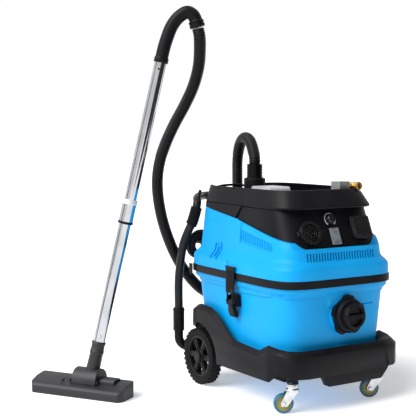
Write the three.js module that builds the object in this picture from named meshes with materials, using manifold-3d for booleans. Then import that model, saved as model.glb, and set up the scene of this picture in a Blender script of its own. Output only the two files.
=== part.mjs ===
// Wet and dry dust extractor on a wheeled trolley, with its suction hose, two-piece wand and floor head.
// Millimetres, +Z up. The front of the machine faces -Y and the floor is at Z = 0.
import * as THREE from 'three';
import { mergeVertices } from 'three/addons/utils/BufferGeometryUtils.js';
import Module from 'manifold-3d';

const wasm = await Module();
wasm.setup();

// ---------------------------------------------------------------- driving dimensions
const GAP = 0.4;                   // clearance between pieces that touch
const PLAN_POWER = 6;              // exponent of the body's rounded-square plan
const PLAN_SIDES = 32;
const WALL = 4;                    // moulded shells
const TANK_BOTTOM = 102;
const TANK_TOP = 367.6;
const BAND = { halfX: 223, halfY: 291, foot: 368, top: 391.6 };
const CONSOLE = { foot: 470, top: 593.4, footY: -256, topY: -202 };
// Parting line of the blue shell and the black console, as heights along Y.
const PARTING = [[-320, 480], [-250, 480], [-236, 498.5], [0, 551], [6, 554], [320, 596]];
const TRAY = { foot: 594, floor: 612, top: 650 };
const TROLLEY = { halfX: 229, halfY: 286, centreY: -19, power: 8, bevel: 16, rim: 13 };
const REAR_WHEEL = { radius: 92, width: 38, y: 179, inner: 193, wellRadius: 112 };
const CASTER = { radius: 30, x: 165, y: -250, trailX: -24, trailY: 12 };
const INLET = { x: 15, z: 278, face: -276 };
const LATCH = { y0: -33, y1: 13, pivotX: -222, pivotZ: 303, pinX: -227, pinZ: 294 };
const HANDLE_TUBE = 14;            // radius of the push handle's tube
const HOSE_RADIUS = 19;
const CORD_RADIUS = 3.5;
const HOSE_PORT = { x: -54, y: 110, collarTop: 675, cuffTop: 721 };
const TUBE_RADIUS = 19;            // chromed wand tubes
const WAND_FOOT = new THREE.Vector3(-579, 254.7, 46);        // where the wand meets the floor head's pivot
const WAND_AXIS = new THREE.Vector3(0.192, -0.12, 1).normalize();
const WAND_FRONT = new THREE.Vector3(-0.53, -0.848, 0);      // square to the wand, to the machine's front
const FLOOR_HEAD = { x: -601, y: 269, pivotAlong: 20, pivotBack: 8, pivotZ: 46 };
const HEAD_ALONG = new THREE.Vector3(0.557, -0.8305, 0);     // along the floor head
const HEAD_BACK = new THREE.Vector3(0.8305, 0.557, 0);       // front to back of the floor head

// ---------------------------------------------------------------- shapes
function at(x, y, z) {
  return new THREE.Vector3(x, y, z);
}

// Axes and origin of a local frame as one matrix.
function frame(xAxis, yAxis, zAxis, origin) {
  return new THREE.Matrix4().makeBasis(xAxis, yAxis, zAxis).setPosition(origin);
}

// Every piece becomes a closed solid that can be cut and joined.
function solid(geometry) {
  const bare = geometry.clone();
  bare.deleteAttribute('normal');
  bare.deleteAttribute('uv');
  const merged = mergeVertices(bare, 1e-4);
  const triVerts = [];
  for (let i = 0; i < merged.index.count; i += 3) {
    const [a, b, c] = [0, 1, 2].map((k) => merged.index.getX(i + k));
    if (a !== b && b !== c && c !== a) triVerts.push(a, b, c);
  }
  const vertProperties = new Float32Array(merged.attributes.position.array);
  const mesh = new wasm.Mesh({ numProp: 3, vertProperties, triVerts: new Uint32Array(triVerts) });
  return new wasm.Manifold(mesh);
}

function toGeometry(body) {
  const mesh = body.getMesh();
  const geometry = new THREE.BufferGeometry();
  geometry.setAttribute('position', new THREE.BufferAttribute(new Float32Array(mesh.vertProperties), 3));
  geometry.setIndex(new THREE.BufferAttribute(new Uint32Array(mesh.triVerts), 1));
  return geometry;
}

function joined(...bodies) {
  return bodies.reduce((all, body) => all.add(body));
}

// The same piece on the other side of the machine.
function mirrored(body) {
  const geometry = toGeometry(body);
  geometry.scale(-1, 1, 1);
  geometry.index.array.reverse();
  return solid(geometry);
}

function block(x0, x1, y0, y1, z0, z1) {
  const box = new THREE.BoxGeometry(x1 - x0, y1 - y0, z1 - z0);
  box.translate((x0 + x1) / 2, (y0 + y1) / 2, (z0 + z1) / 2);
  return solid(box);
}

// Turns a shape's own +Y to a direction and moves its origin to a point.
function aimed(geometry, origin, direction) {
  const turn = new THREE.Quaternion().setFromUnitVectors(at(0, 1, 0), direction.clone().normalize());
  geometry.applyQuaternion(turn);
  geometry.translate(origin.x, origin.y, origin.z);
  return solid(geometry);
}

function rod(from, to, radius, sides = 20, endRadius = radius) {
  const axis = to.clone().sub(from);
  const cylinder = new THREE.CylinderGeometry(endRadius, radius, axis.length(), sides);
  return aimed(cylinder, from.clone().lerp(to, 0.5), axis);
}

// A turned piece: [radius, height] pairs about the axis that starts at a point.
function turned(profile, from, direction, sides = 28) {
  const points = profile.map(([r, h]) => new THREE.Vector2(r, h));
  return aimed(new THREE.LatheGeometry(points, sides), from, direction);
}

function pipe(from, to, outer, inner, sides = 20) {
  const length = to.distanceTo(from);
  const ring = [[inner, 0], [outer, 0], [outer, length], [inner, length], [inner, 0]];
  return turned(ring, from, to.clone().sub(from), sides);
}

function prism(pairs, depth) {
  const shape = new THREE.Shape(pairs.map(([a, b]) => new THREE.Vector2(a, b)));
  return new THREE.ExtrudeGeometry(shape, { depth, bevelEnabled: false });
}

// A flat outline extruded along X (pairs are y, z), Y (pairs are x, z) or Z (pairs are x, y).
function slab(pairs, axis, from, to) {
  const placing = {
    x: frame(at(0, 1, 0), at(0, 0, 1), at(1, 0, 0), at(from, 0, 0)),
    y: frame(at(1, 0, 0), at(0, 0, 1), at(0, -1, 0), at(0, to, 0)),
    z: frame(at(1, 0, 0), at(0, 1, 0), at(0, 0, 1), at(0, 0, from)),
  };
  return solid(prism(pairs, to - from).applyMatrix4(placing[axis]));
}

function circle(radius, sides) {
  return Array.from({ length: sides }, (_, i) => {
    const angle = (2 * Math.PI * (i + 0.5)) / sides;
    return new THREE.Vector2(radius * Math.cos(angle), radius * Math.sin(angle));
  });
}

// A round bar along a smooth path.
function sweep(points, radius, steps, sides = 10) {
  const path = new THREE.CatmullRomCurve3(points.map(([x, y, z]) => at(x, y, z)), false, 'centripetal');
  const section = new THREE.Shape(circle(radius, sides));
  return solid(new THREE.ExtrudeGeometry(section, { steps, bevelEnabled: false, extrudePath: path }));
}

// Point of a rounded-square plan.
function planPoint(angle, halfX, halfY, power = PLAN_POWER) {
  const reach = (value) => Math.sign(value) * Math.abs(value) ** (2 / power);
  return [halfX * reach(Math.cos(angle)), halfY * reach(Math.sin(angle))];
}

// A vessel is a stack of rounded-square levels [halfX, halfY, z, centreY], closed at both ends.
function vessel(levels) {
  const stack = [levels[0], ...levels, levels[levels.length - 1]];
  const profile = stack.map((_, j) => new THREE.Vector2(j === 0 || j === stack.length - 1 ? 0 : 1, j));
  const lathe = new THREE.LatheGeometry(profile, PLAN_SIDES);
  const position = lathe.attributes.position;
  for (let i = 0; i <= PLAN_SIDES; i += 1) {
    const angle = (2 * Math.PI * (i % PLAN_SIDES)) / PLAN_SIDES;
    stack.forEach(([halfX, halfY, z, centreY = 0], j) => {
      const [x, y] = planPoint(angle, halfX, halfY);
      const onAxis = profile[j].x === 0;
      position.setXYZ(i * stack.length + j, onAxis ? 0 : x, onAxis ? centreY : y + centreY, z);
    });
  }
  return solid(lathe);
}

// ---------------------------------------------------------------- finishes
const BLUE = { color: 0x1aa7f5, roughness: 0.42, metalness: 0 };
const BLACK = { color: 0x26252a, roughness: 0.55, metalness: 0 };
const RUBBER = { color: 0x1b1b1d, roughness: 0.85, metalness: 0 };
const CHROME = { color: 0xd9dcdf, roughness: 0.12, metalness: 1 };
const ZINC = { color: 0xb9bcc0, roughness: 0.35, metalness: 1 };
const BRASS = { color: 0xc79a4b, roughness: 0.3, metalness: 1 };
const PALE = { color: 0xd5d3d9, roughness: 0.6, metalness: 0 };
const GREY = { color: 0x8f949a, roughness: 0.45, metalness: 0 };
const CASTER_BLUE = { color: 0x1f7fb4, roughness: 0.5, metalness: 0 };

const pieces = [];

function add(name, body, look) {
  const geometry = toGeometry(body);
  geometry.computeVertexNormals();
  const piece = new THREE.Mesh(geometry, new THREE.MeshStandardMaterial(look));
  piece.name = name;
  pieces.push(piece);
}

function addPair(name, left, look) {
  add(`${name}_left`, left, look);
  add(`${name}_right`, mirrored(left), look);
}

// ---------------------------------------------------------------- trolley
// Heights of the trolley's upper and lower edge along its sides, from front to back.
const TROLLEY_EDGE = [
  [-305, 189], [-206, 197], [-158, 174], [-29, 180], [-4, 186], [89, 251], [123, 263], [191, 265], [243, 252],
  [267, 244],
];
const TROLLEY_FOOT = [[-305, 108], [-252, 118], [-218, 92], [267, 86]];

function heightAlong(edge, y) {
  const next = edge.findIndex(([station]) => station >= y);
  if (next === 0) return edge[0][1];
  if (next < 0) return edge[edge.length - 1][1];
  const [y0, z0] = edge[next - 1];
  const [y1, z1] = edge[next];
  return z0 + ((z1 - z0) * (y - y0)) / (y1 - y0);
}

// Angles round the trolley's plan: even steps, and one at each bend of its upper and lower edge.
function trolleyStations() {
  const angles = circle(1, 20).map((point) => (Math.atan2(point.y, point.x) + 2 * Math.PI) % (2 * Math.PI));
  [...TROLLEY_EDGE, ...TROLLEY_FOOT].forEach(([y]) => {
    const share = (y - TROLLEY.centreY) / TROLLEY.halfY;
    if (Math.abs(share) > 0.97) return;
    const angle = Math.sign(share) * Math.asin(Math.abs(share) ** (TROLLEY.power / 2));
    angles.push((angle + 2 * Math.PI) % (2 * Math.PI), Math.PI - angle);
  });
  return angles.sort((a, b) => a - b);
}

function trolleyRing() {
  const stations = trolleyStations();
  const profile = [[1, 0], [2, 0], [2, 1], [1.5, 2], [1, 0]].map(([r, h]) => new THREE.Vector2(r, h));
  const lathe = new THREE.LatheGeometry(profile, stations.length);
  const { halfX, halfY, centreY, power, bevel, rim } = TROLLEY;
  for (let i = 0; i <= stations.length; i += 1) {
    const angle = stations[i % stations.length];
    const outer = planPoint(angle, halfX, halfY, power);
    const inner = planPoint(angle, halfX - rim, halfY - rim, power);
    const core = planPoint(angle, 120, 160, power);
    const edge = heightAlong(TROLLEY_EDGE, outer[1] + centreY);
    const foot = heightAlong(TROLLEY_FOOT, outer[1] + centreY);
    const ring = [[core, foot], [outer, foot], [outer, edge - bevel], [inner, edge], [core, foot]];
    ring.forEach(([[x, y], z], j) => {
      lathe.attributes.position.setXYZ(i * ring.length + j, x, y + centreY, z);
    });
  }
  return solid(lathe);
}

function tankLevels(grow) {
  return [
    [186 + grow, 247 + grow, TANK_BOTTOM - grow, -6], [192 + grow, 254 + grow, 185, -6],
    [204 + grow, 270 + grow, 345, -2],
  ];
}

function trolleyBase() {
  const seat = vessel(tankLevels(GAP));
  const underside = vessel([[182, 242, 20, -6], [182, 242, TANK_BOTTOM, -6]]);
  const lipOutline = [[-90, 125], [-84, 104], [-69, 76], [133, 76], [158, 104], [164, 125]];
  const frontLip = slab(lipOutline, 'y', -303, -275);
  const rail = block(-170, -146, -215, 236, 84, TANK_BOTTOM - GAP);
  const beam = block(-182, 182, REAR_WHEEL.y - 14, REAR_WHEEL.y + 14, 78, TANK_BOTTOM - GAP);
  let base = joined(trolleyRing(), frontLip).subtract(seat).subtract(underside);
  base = joined(base, rail, mirrored(rail), beam);
  for (const side of [-1, 1]) {
    const boss = rod(at(side * CASTER.x, CASTER.y, 96), at(side * CASTER.x, CASTER.y, 125), 17, 16);
    base = base.add(boss.subtract(seat));
    base = base.subtract(rod(at(side * CASTER.x, CASTER.y, 90), at(side * CASTER.x, CASTER.y, 116), 7.8, 12));
    const wellInner = at(side * (REAR_WHEEL.inner - 4), REAR_WHEEL.y, REAR_WHEEL.radius);
    base = base.subtract(rod(wellInner, wellInner.clone().setX(side * 260), REAR_WHEEL.wellRadius, 28));
  }
  const axleEnd = at(240, REAR_WHEEL.y, REAR_WHEEL.radius);
  return base.subtract(rod(axleEnd.clone().setX(-240), axleEnd, 6.5, 14));
}

function rearAxle() {
  const { y, radius, inner, width } = REAR_WHEEL;
  const reach = inner + width - 2;
  const cap = turned([[0, 0], [20, 0], [17, 5], [0, 7]], at(reach, y, radius), at(1, 0, 0), 16);
  return joined(rod(at(-reach - 1, y, radius), at(reach + 1, y, radius), 6, 12), cap, mirrored(cap));
}

function rearWheel() {
  const { radius, width, y, inner } = REAR_WHEEL;
  const far = width - 4;
  const section = [
    [6.6, 1], [22, 1], [22, 14], [66, 14], [66, 1], [85, 0], [radius, 7], [radius, width - 7],
    [85, width], [66, far], [66, 24], [22, 24], [22, width - 3], [6.6, width - 3], [6.6, 1],
  ];
  let wheel = turned(section, at(-inner, y, radius), at(-1, 0, 0), 28);
  const spokes = 6;
  for (let i = 0; i < spokes; i += 1) {
    const window = prism([[-11, 29], [11, 29], [22, 60], [-22, 60]], width);
    window.applyMatrix4(frame(at(0, 1, 0), at(0, 0, 1), at(1, 0, 0), at(-inner - width, 0, 0)));
    window.rotateX((2 * Math.PI * i) / spokes);
    window.translate(0, y, radius);
    wheel = wheel.subtract(solid(window));
  }
  return wheel;
}

function caster(side) {
  const stem = at(side * CASTER.x, CASTER.y, 0);
  const hub = at(stem.x + CASTER.trailX, stem.y + CASTER.trailY, CASTER.radius);
  const trail = at(CASTER.trailX, CASTER.trailY, 0).normalize();
  const across = at(-trail.y, trail.x, 0);
  const crown = [[0, 66], [20, 66], [20, 72], [17, 76], [17, 86], [13, 95.6], [7, 95.6], [7, 112], [0, 112]];
  let fork = turned(crown, stem, at(0, 0, 1), 16);
  const legOutline = [[-9, -7], [8, -7], [10, 4], [-8, 38], [-43, 38]];
  for (const offset of [-15, 13]) {
    const leg = prism(legOutline, 2);
    const start = hub.clone().addScaledVector(across, offset + 2);
    leg.applyMatrix4(frame(trail, at(0, 0, 1), across.clone().negate(), start));
    fork = fork.add(solid(leg));
  }
  const boltEnd = hub.clone().addScaledVector(across, 18);
  fork = fork.add(rod(hub.clone().addScaledVector(across, -18), boltEnd, 4, 10));
  const section = [
    [4.5, -9], [21, -9], [27, -10], [CASTER.radius, -7], [CASTER.radius, 7], [27, 10], [21, 9], [4.5, 9],
    [4.5, -9],
  ];
  return { fork, wheel: turned(section, hub, across, 22) };
}

add('trolley_base', trolleyBase(), BLACK);
add('rear_axle', rearAxle(), ZINC);
addPair('rear_wheel', rearWheel(), RUBBER);
for (const [name, side] of [['left', -1], ['right', 1]]) {
  const { fork, wheel } = caster(side);
  add(`caster_fork_${name}`, fork, ZINC);
  add(`caster_wheel_${name}`, wheel, CASTER_BLUE);
}

// ---------------------------------------------------------------- tank and its inlet
function tank() {
  const outer = vessel([...tankLevels(0), [214, 282, 353], [216, 284, TANK_TOP]]);
  const inner = vessel([
    [182, 243, TANK_BOTTOM + WALL, -6], [188, 250, 185, -6], [200, 266, 346, -2], [210, 278, 355],
    [212, 280, TANK_TOP + 2],
  ]);
  const boss = rod(at(INLET.x, -250, INLET.z), at(INLET.x, INLET.face, INLET.z), 60, 24).subtract(inner);
  const bore = rod(at(INLET.x, -230, INLET.z), at(INLET.x, -300, INLET.z), 31, 20);
  return outer.subtract(inner).add(boss).subtract(bore);
}

// Lobed bayonet flange with a stepped collar.
function inletFlange() {
  const face = INLET.face - GAP;
  let flange = rod(at(INLET.x, face, INLET.z), at(INLET.x, face - 13, INLET.z), 56, 24);
  const lobes = 5;
  for (let i = 0; i < lobes; i += 1) {
    const angle = Math.PI / 2 + (2 * Math.PI * i) / lobes;
    const centre = at(INLET.x + 48 * Math.cos(angle), face, INLET.z + 48 * Math.sin(angle));
    flange = flange.add(rod(centre, centre.clone().setY(face - 13), 14, 10));
  }
  const collar = rod(at(INLET.x, face - 12, INLET.z), at(INLET.x, face - 26, INLET.z), 51, 24, 45);
  const bore = rod(at(INLET.x, face + 5, INLET.z), at(INLET.x, face - 40, INLET.z), 31, 20);
  return flange.add(collar).subtract(bore);
}

// Plug with a grip bar left between two recesses.
function inletPlug() {
  const back = INLET.face - GAP * 2 - 26;
  const face = back - 18;
  const disc = rod(at(INLET.x, back, INLET.z), at(INLET.x, face, INLET.z), 41, 24, 37);
  const spigot = rod(at(INLET.x, back - 1, INLET.z), at(INLET.x, INLET.face + 12, INLET.z), 30, 20);
  let plug = disc.add(spigot);
  for (const side of [-1, 1]) {
    const outline = [[-27, 7], [27, 7], [18, 24], [0, 30], [-18, 24]];
    const recess = outline.map(([x, z]) => [INLET.x + x, INLET.z + side * z]);
    plug = plug.subtract(slab(recess, 'y', face - 1, face + 10));
  }
  return plug;
}

// Over-centre latch: a bracket on the tank, a lever on the bracket and a hook plate on the lever.
function latchBracket() {
  const { y0, y1, pivotX, pivotZ } = LATCH;
  const foot = slab([[-200.2, 286], [-212, 286], [-212, 322], [-202.8, 322]], 'y', y0, y1);
  const lugOutline = [
    [-211, 290], [-222, 292], [-228, 297], [-229, 303], [-226, 310], [-218, 318], [-211, 321],
  ];
  const hole = rod(at(pivotX, y0 - 5, pivotZ), at(pivotX, y1 + 5, pivotZ), 2.6, 12);
  return joined(foot, slab(lugOutline, 'y', y0, y0 + 5), slab(lugOutline, 'y', y1 - 5, y1)).subtract(hole);
}

function latchLever() {
  const { y0, y1, pivotX, pivotZ, pinX, pinZ } = LATCH;
  const outline = [
    [-216, 308], [-225, 308], [-229, 303], [-228.5, 290], [-224, 270], [-216, 252], [-210, 252], [-207, 257],
    [-214, 286], [-214.5, 300],
  ];
  const plate = slab(outline, 'y', y0 + 11, y1 - 11);
  const tabOutline = [[-225.5, 276], [-224, 270], [-216, 252], [-210, 252], [-207, 257], [-211.5, 276]];
  const tab = slab(tabOutline, 'y', y0 + 6, y1 - 6);
  const pivot = rod(at(pivotX, y0 + 0.5, pivotZ), at(pivotX, y1 - 0.5, pivotZ), 2, 12);
  const pin = rod(at(pinX, y0 + 6, pinZ), at(pinX, y1 - 6, pinZ), 1.8, 12);
  return joined(plate, tab, pivot, pin);
}

function latchHook() {
  const { y0, y1, pinX, pinZ } = LATCH;
  const plate = block(-229.4, -226.4, y0, y1, 328, 406);
  const lip = block(-229.4, -224.2, y0 - 4, y1 + 4, 405, 410);
  const hole = rod(at(pinX, y0, pinZ), at(pinX, y1, pinZ), 2.3, 12);
  let hook = plate.add(lip);
  const leg = [[-229.7, 291], [-225.4, 291], [-225.4, 322], [-226.4, 332], [-229.4, 332]];
  for (const y of [y0 + 5.6, y1 - 10.6]) {
    hook = hook.add(slab(leg, 'y', y, y + 5));
  }
  return hook.subtract(hole);
}

add('tank', tank(), BLUE);
add('inlet_flange', inletFlange(), BLACK);
add('inlet_plug', inletPlug(), BLACK);
addPair('latch_bracket', latchBracket(), BLACK);
addPair('latch_lever', latchLever(), BLACK);
addPair('latch_hook', latchHook(), BLACK);

// ---------------------------------------------------------------- push handle
// One tube bent round behind the machine, held in two moulded sleeves, with a ribbed grip at each bend.
const HANDLE_FOOT = [-231, 300];
const SLEEVE_TOP = 235;

function handleSleeve() {
  const [x, y] = HANDLE_FOOT;
  const path = [
    [x, y, SLEEVE_TOP], [x, y, 190], [x, y, 150], [-228, 301, 124], [-213, 300, 106], [-192, 292, 100],
    [-176, 280, 100], [-170, TROLLEY.centreY + TROLLEY.halfY - 0.6, 100],
  ];
  return sweep(path, 15, 14, 8).add(rod(at(x, y, 158), at(x, y, SLEEVE_TOP), 19, 14));
}

function pushHandle() {
  const [x, y] = HANDLE_FOOT;
  const side = [
    [x, y, SLEEVE_TOP + GAP], [x, y, 329], [-225, 296, 400], [-217, 290, 454], [-205, 280, 495],
    [-194, 272, 525], [-184, 267, 562], [-176, 270, 590], [-158, 300, 603], [-110, 344, 606], [-50, 352, 606],
  ];
  const far = side.map(([px, py, pz]) => [-px, py, pz]).reverse();
  const tube = sweep([...side, ...far], HANDLE_TUBE, 44, 8);
  const hook = rod(at(-177, 268, 588), at(-169, 262, 632), 7, 10, 5);
  return joined(tube, hook, mirrored(hook));
}

function handleGrip() {
  const grip = sweep([[-198, 275, 515], [-194, 272, 525], [-184, 267, 562], [-181, 266.6, 574]], 20, 4, 12);
  return grip.subtract(sweepCore());
}

// The grip's bore is the handle's own tube with clearance.
function sweepCore() {
  const path = [[-217, 290, 454], [-205, 280, 495], [-194, 272, 525], [-184, 267, 562], [-176, 270, 590]];
  return sweep(path, HANDLE_TUBE + 1.4, 8, 12);
}

addPair('handle_sleeve', handleSleeve(), BLACK);
add('push_handle', pushHandle(), BLACK);
addPair('handle_grip', handleGrip(), RUBBER);

// ---------------------------------------------------------------- head: band, shell, console and tray
function rimFrame() {
  const { halfX, halfY, foot, top } = BAND;
  const outer = vessel([[halfX - 1.5, halfY - 1.5, foot], [halfX, halfY, foot + 3], [halfX, halfY, top]]);
  const lip = vessel([[209, 277, 358], [209, 277, foot + 1]]);
  return joined(outer, lip).subtract(vessel([[203, 271, 350], [203, 271, top + 1]]));
}

function headVolume(grow) {
  return vessel([
    [221 + grow, 289 + grow, 392], [220 + grow, 288 + grow, 426], [200 + grow, 270 + grow, 447],
    [197 + grow, 266 + grow, 480], [187 + grow, 230 + grow, 590, 24], [187 + grow, 230 + grow, 596, 24],
  ]);
}

function consoleVolume(grow) {
  return vessel([
    [188 + grow, 258 + grow, CONSOLE.foot - grow, 2], [183 + grow, 226 + grow, CONSOLE.top + grow, 24],
  ]);
}

// Everything above the parting line, from a station along Y to the back.
function aboveParting(lift, fromY) {
  const line = PARTING.filter(([y]) => y >= fromY).map(([y, z]) => [y, z + lift]);
  return slab([...line, [320, 700], [fromY, 700]], 'x', -300, 300);
}

function headShell() {
  const inner = vessel([
    [217, 285, 390], [216, 284, 424], [195.5, 265, 448], [189.5, 259.5, 462, 1.5], [183.6, 227, 597, 24],
  ]);
  const cut = aboveParting(0, -320);
  let shell = headVolume(0).subtract(inner).subtract(consoleVolume(GAP)).subtract(cut);
  const bead = block(-223.5, -217, LATCH.y0 + 4, LATCH.y1 - 4, 396, 403.6);
  shell = joined(shell, bead.subtract(inner));
  return shell.add(mirrored(bead.subtract(inner)));
}

function consoleCover() {
  const body = consoleVolume(0);
  const hollow = vessel([[184, 254, CONSOLE.foot - 2, 2], [179, 222, CONSOLE.top - WALL, 24]]);
  return body.subtract(hollow);
}

function topTray() {
  const outer = vessel([[183, 242, TRAY.foot, 13], [185, 244, 599, 13], [165, 229.5, TRAY.top, 30]]);
  const basin = vessel([[170, 228, TRAY.floor, 16], [158, 222, TRAY.top + 2, 31]]);
  const railNotch = block(-130, 12, 200, 280, 632, 700);
  const teeNotch = block(108, 158, -230, -128, 641, 700);
  const skirt = headVolume(0).subtract(consoleVolume(GAP)).intersect(aboveParting(GAP, 6));
  const tray = outer.subtract(basin).subtract(railNotch).subtract(teeNotch);
  return tray.add(skirt).subtract(consoleVolume(GAP));
}

function motorPlate() {
  const centre = at(0, 0, 396);
  const plate = vessel([[214, 282, 396], [214, 282, 401]]);
  return plate.subtract(rod(centre.clone().setZ(390), centre.clone().setZ(405), 30, 16));
}

add('rim_frame', rimFrame(), BLACK);
add('motor_plate', motorPlate(), BLACK);
add('head_shell', headShell(), BLUE);
add('console', consoleCover(), BLACK);
add('top_tray', topTray(), BLACK);

// ---------------------------------------------------------------- control panel
const PANEL_TILT = Math.atan2(CONSOLE.topY - CONSOLE.footY, CONSOLE.top - CONSOLE.foot);
const PANEL_UP = at(0, Math.sin(PANEL_TILT), Math.cos(PANEL_TILT));
const PANEL_OUT = at(0, -Math.cos(PANEL_TILT), Math.sin(PANEL_TILT));

// A shape whose own Z points out of the panel, set down at a place on it and trimmed to it.
function onPanel(geometry, x, z) {
  const y = CONSOLE.footY + (z - CONSOLE.foot) * Math.tan(PANEL_TILT);
  const body = solid(geometry.applyMatrix4(frame(at(1, 0, 0), PANEL_UP, PANEL_OUT, at(x, y, z))));
  return body.subtract(consoleVolume(GAP));
}

function drum(radius, height, base = 0, endRadius = radius, sides = 24) {
  const cylinder = new THREE.CylinderGeometry(endRadius, radius, height, sides);
  cylinder.rotateX(Math.PI / 2);
  cylinder.translate(0, 0, base + height / 2);
  return cylinder;
}

function plate(halfX, halfY, base, height) {
  const box = new THREE.BoxGeometry(2 * halfX, 2 * halfY, height);
  box.translate(0, 0, base + height / 2);
  return box;
}

function blowPort() {
  const place = [-94, 524];
  const ring = onPanel(drum(37, 20, -8, 35), ...place);
  const bore = onPanel(drum(27, 30, 2), ...place);
  const ears = onPanel(plate(45, 7, -6, 12), ...place);
  return joined(ring, ears).subtract(bore);
}

function speedDial() {
  const base = drum(15, 15, 0, 13, 16);
  return onPanel(base, -4, 561);
}

function switchBezel() {
  const place = [-1, 511];
  const frameBody = onPanel(plate(17, 26, 0.8, 4.2), ...place);
  return frameBody.subtract(onPanel(plate(11, 20, 0.5, 20), ...place));
}

function rocker() {
  return onPanel(plate(10.4, 19, 3.4, 4.6), -1, 511);
}

// A shallow box with a recess for the socket, closed by a lid hinged along its upper edge.
const OUTLET = { x: 98, z: 531, halfX: 37, halfY: 35 };

function outletBody() {
  const { x, z, halfX, halfY } = OUTLET;
  const box = onPanel(plate(halfX, halfY, -8, 16), x, z);
  return box.subtract(onPanel(drum(22, 20, 2), x, z));
}

function outletLid() {
  const { x, z, halfX, halfY } = OUTLET;
  return onPanel(plate(halfX, halfY, 8.5, 9), x, z);
}

add('blow_port', blowPort(), BLACK);
add('speed_dial', speedDial(), BLACK);
add('switch_bezel', switchBezel(), GREY);
add('rocker', rocker(), PALE);
add('outlet_body', outletBody(), BLACK);
add('outlet_lid', outletLid(), BLACK);

// ---------------------------------------------------------------- top of the head
function exhaustPad() {
  const foot = TRAY.floor + GAP;
  return slab([[-60, foot], [45, foot], [45, 648], [36, 654], [-51, 654], [-60, 648]], 'x', -112, -35);
}

function rearRail() {
  const arch = [[-124.5, 236, 640], [-100, 240, 645], [-59, 241, 647], [-18, 240, 645], [6.5, 236, 640]];
  return sweep(arch, 4, 8, 8);
}

function supplyBlock() {
  return block(66, 108, -176, -134, TRAY.floor + GAP, 673);
}

const TEE = { y: -155, z: 656, radius: 11 };

function brassTee() {
  const run = rod(at(108.4, TEE.y, TEE.z), at(150, TEE.y, TEE.z), TEE.radius, 14);
  const branch = rod(at(138, TEE.y, TEE.z), at(138, TEE.y - 30, TEE.z), TEE.radius - 1, 14);
  const bore = rod(at(138, TEE.y - 8, TEE.z), at(138, TEE.y - 40, TEE.z), 5.5, 10);
  return run.add(branch).subtract(bore);
}

function brassCoupler() {
  return pipe(at(138, TEE.y - 16, TEE.z), at(138, TEE.y - 29, TEE.z), TEE.radius + 2.6, TEE.radius - 0.4, 16);
}

function hoseCollar() {
  const { x, y, collarTop } = HOSE_PORT;
  const profile = [
    [0, TRAY.floor + GAP], [44, TRAY.floor + GAP], [44, 617], [35, 619], [35, collarTop],
    [21.4, collarTop], [21.4, 640], [0, 640],
  ];
  return turned(profile, at(x, y, 0), at(0, 0, 1), 24);
}

function hoseCuff() {
  const { x, y, collarTop, cuffTop } = HOSE_PORT;
  return turned([
    [0, 641], [20.4, 641], [20.4, collarTop + GAP], [27, collarTop + GAP], [25.5, cuffTop], [0, cuffTop],
  ], at(x, y, 0), at(0, 0, 1), 20);
}

add('exhaust_pad', exhaustPad(), PALE);
add('rear_rail', rearRail(), BLACK);
add('supply_block', supplyBlock(), ZINC);
add('brass_tee', brassTee(), BRASS);
add('brass_coupler', brassCoupler(), BRASS);
add('hose_collar', hoseCollar(), BLACK);
add('hose_cuff', hoseCuff(), BLACK);

// ---------------------------------------------------------------- inside the head and tank
function motor() {
  const profile = [[0, 420], [70, 420], [70, 500], [62, 506], [62, 548], [40, 560], [0, 560]];
  return turned(profile, at(0, 0, 0), at(0, 0, 1), 18);
}

function impeller() {
  return turned([[0, 405], [58, 405], [58, 409], [20, 414], [8, 414], [8, 419.6], [0, 419.6]],
    at(0, 0, 0), at(0, 0, 1), 16);
}

function filterCartridge() {
  return turned([[60, 262], [64, 262], [64, 395.6], [34, 395.6], [34, 391], [60, 391], [60, 262]],
    at(0, 0, 0), at(0, 0, 1), 18);
}

// The float hangs in a cage below the filter and rises to shut off the suction.
function floatCage() {
  return turned([
    [12, 196], [30, 196], [30, 258], [64, 258], [64, 261.6], [12, 261.6], [12, 258], [26, 258], [26, 200],
    [12, 200], [12, 196],
  ], at(0, 0, 0), at(0, 0, 1), 14);
}

function floatBall() {
  const profile = [[0, 202], [12, 202], [20, 210], [20, 220], [12, 228], [0, 228]];
  return turned(profile, at(0, 0, 0), at(0, 0, 1), 12);
}

add('motor', motor(), ZINC);
add('impeller', impeller(), ZINC);
add('filter_cartridge', filterCartridge(), PALE);
add('float_cage', floatCage(), BLACK);
add('float_ball', floatBall(), PALE);

// ---------------------------------------------------------------- wand
function alongWand(z) {
  return WAND_FOOT.clone().addScaledVector(WAND_AXIS, (z - WAND_FOOT.z) / WAND_AXIS.z);
}

const NECK_TOP = 169;
const JOINT_FOOT = 539;
const JOINT_TOP = 614;
const TUBE_TOP = 1036;
const BUTTON_Z = 187;

function wandTube(from, to) {
  return pipe(alongWand(from), alongWand(to), TUBE_RADIUS, TUBE_RADIUS - 1.5, 16);
}

function lowerTube() {
  const centre = alongWand(BUTTON_Z);
  const hole = rod(centre, centre.clone().addScaledVector(WAND_FRONT, 40), 4.7, 10);
  return wandTube(NECK_TOP + GAP, JOINT_FOOT).subtract(hole);
}

function snapButton() {
  const centre = alongWand(BUTTON_Z);
  const inside = centre.clone().addScaledVector(WAND_FRONT, 12);
  return rod(inside, centre.clone().addScaledVector(WAND_FRONT, 22), 4, 10);
}

function tubeSleeve() {
  return pipe(alongWand(JOINT_FOOT + GAP), alongWand(JOINT_TOP), TUBE_RADIUS + 3.5, TUBE_RADIUS - 1.5, 18);
}

function wandHandle() {
  const foot = alongWand(TUBE_TOP + GAP);
  const bend = [
    foot.toArray(), alongWand(1075).toArray(), [-373, 126, 1108], [-358, 117, 1150], [-338, 105, 1178],
    [-318, 92.5, 1190], [-303, 83, 1180], [-296, 78.6, 1163], [-292, 76, 1144],
  ];
  const cuff = rod(foot, alongWand(1052), 22, 14);
  const collar = rod(at(-297, 79.2, 1166), at(-292, 76, 1144), 24, 14);
  return joined(sweep(bend, 20, 14, 10), cuff, collar);
}

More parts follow.
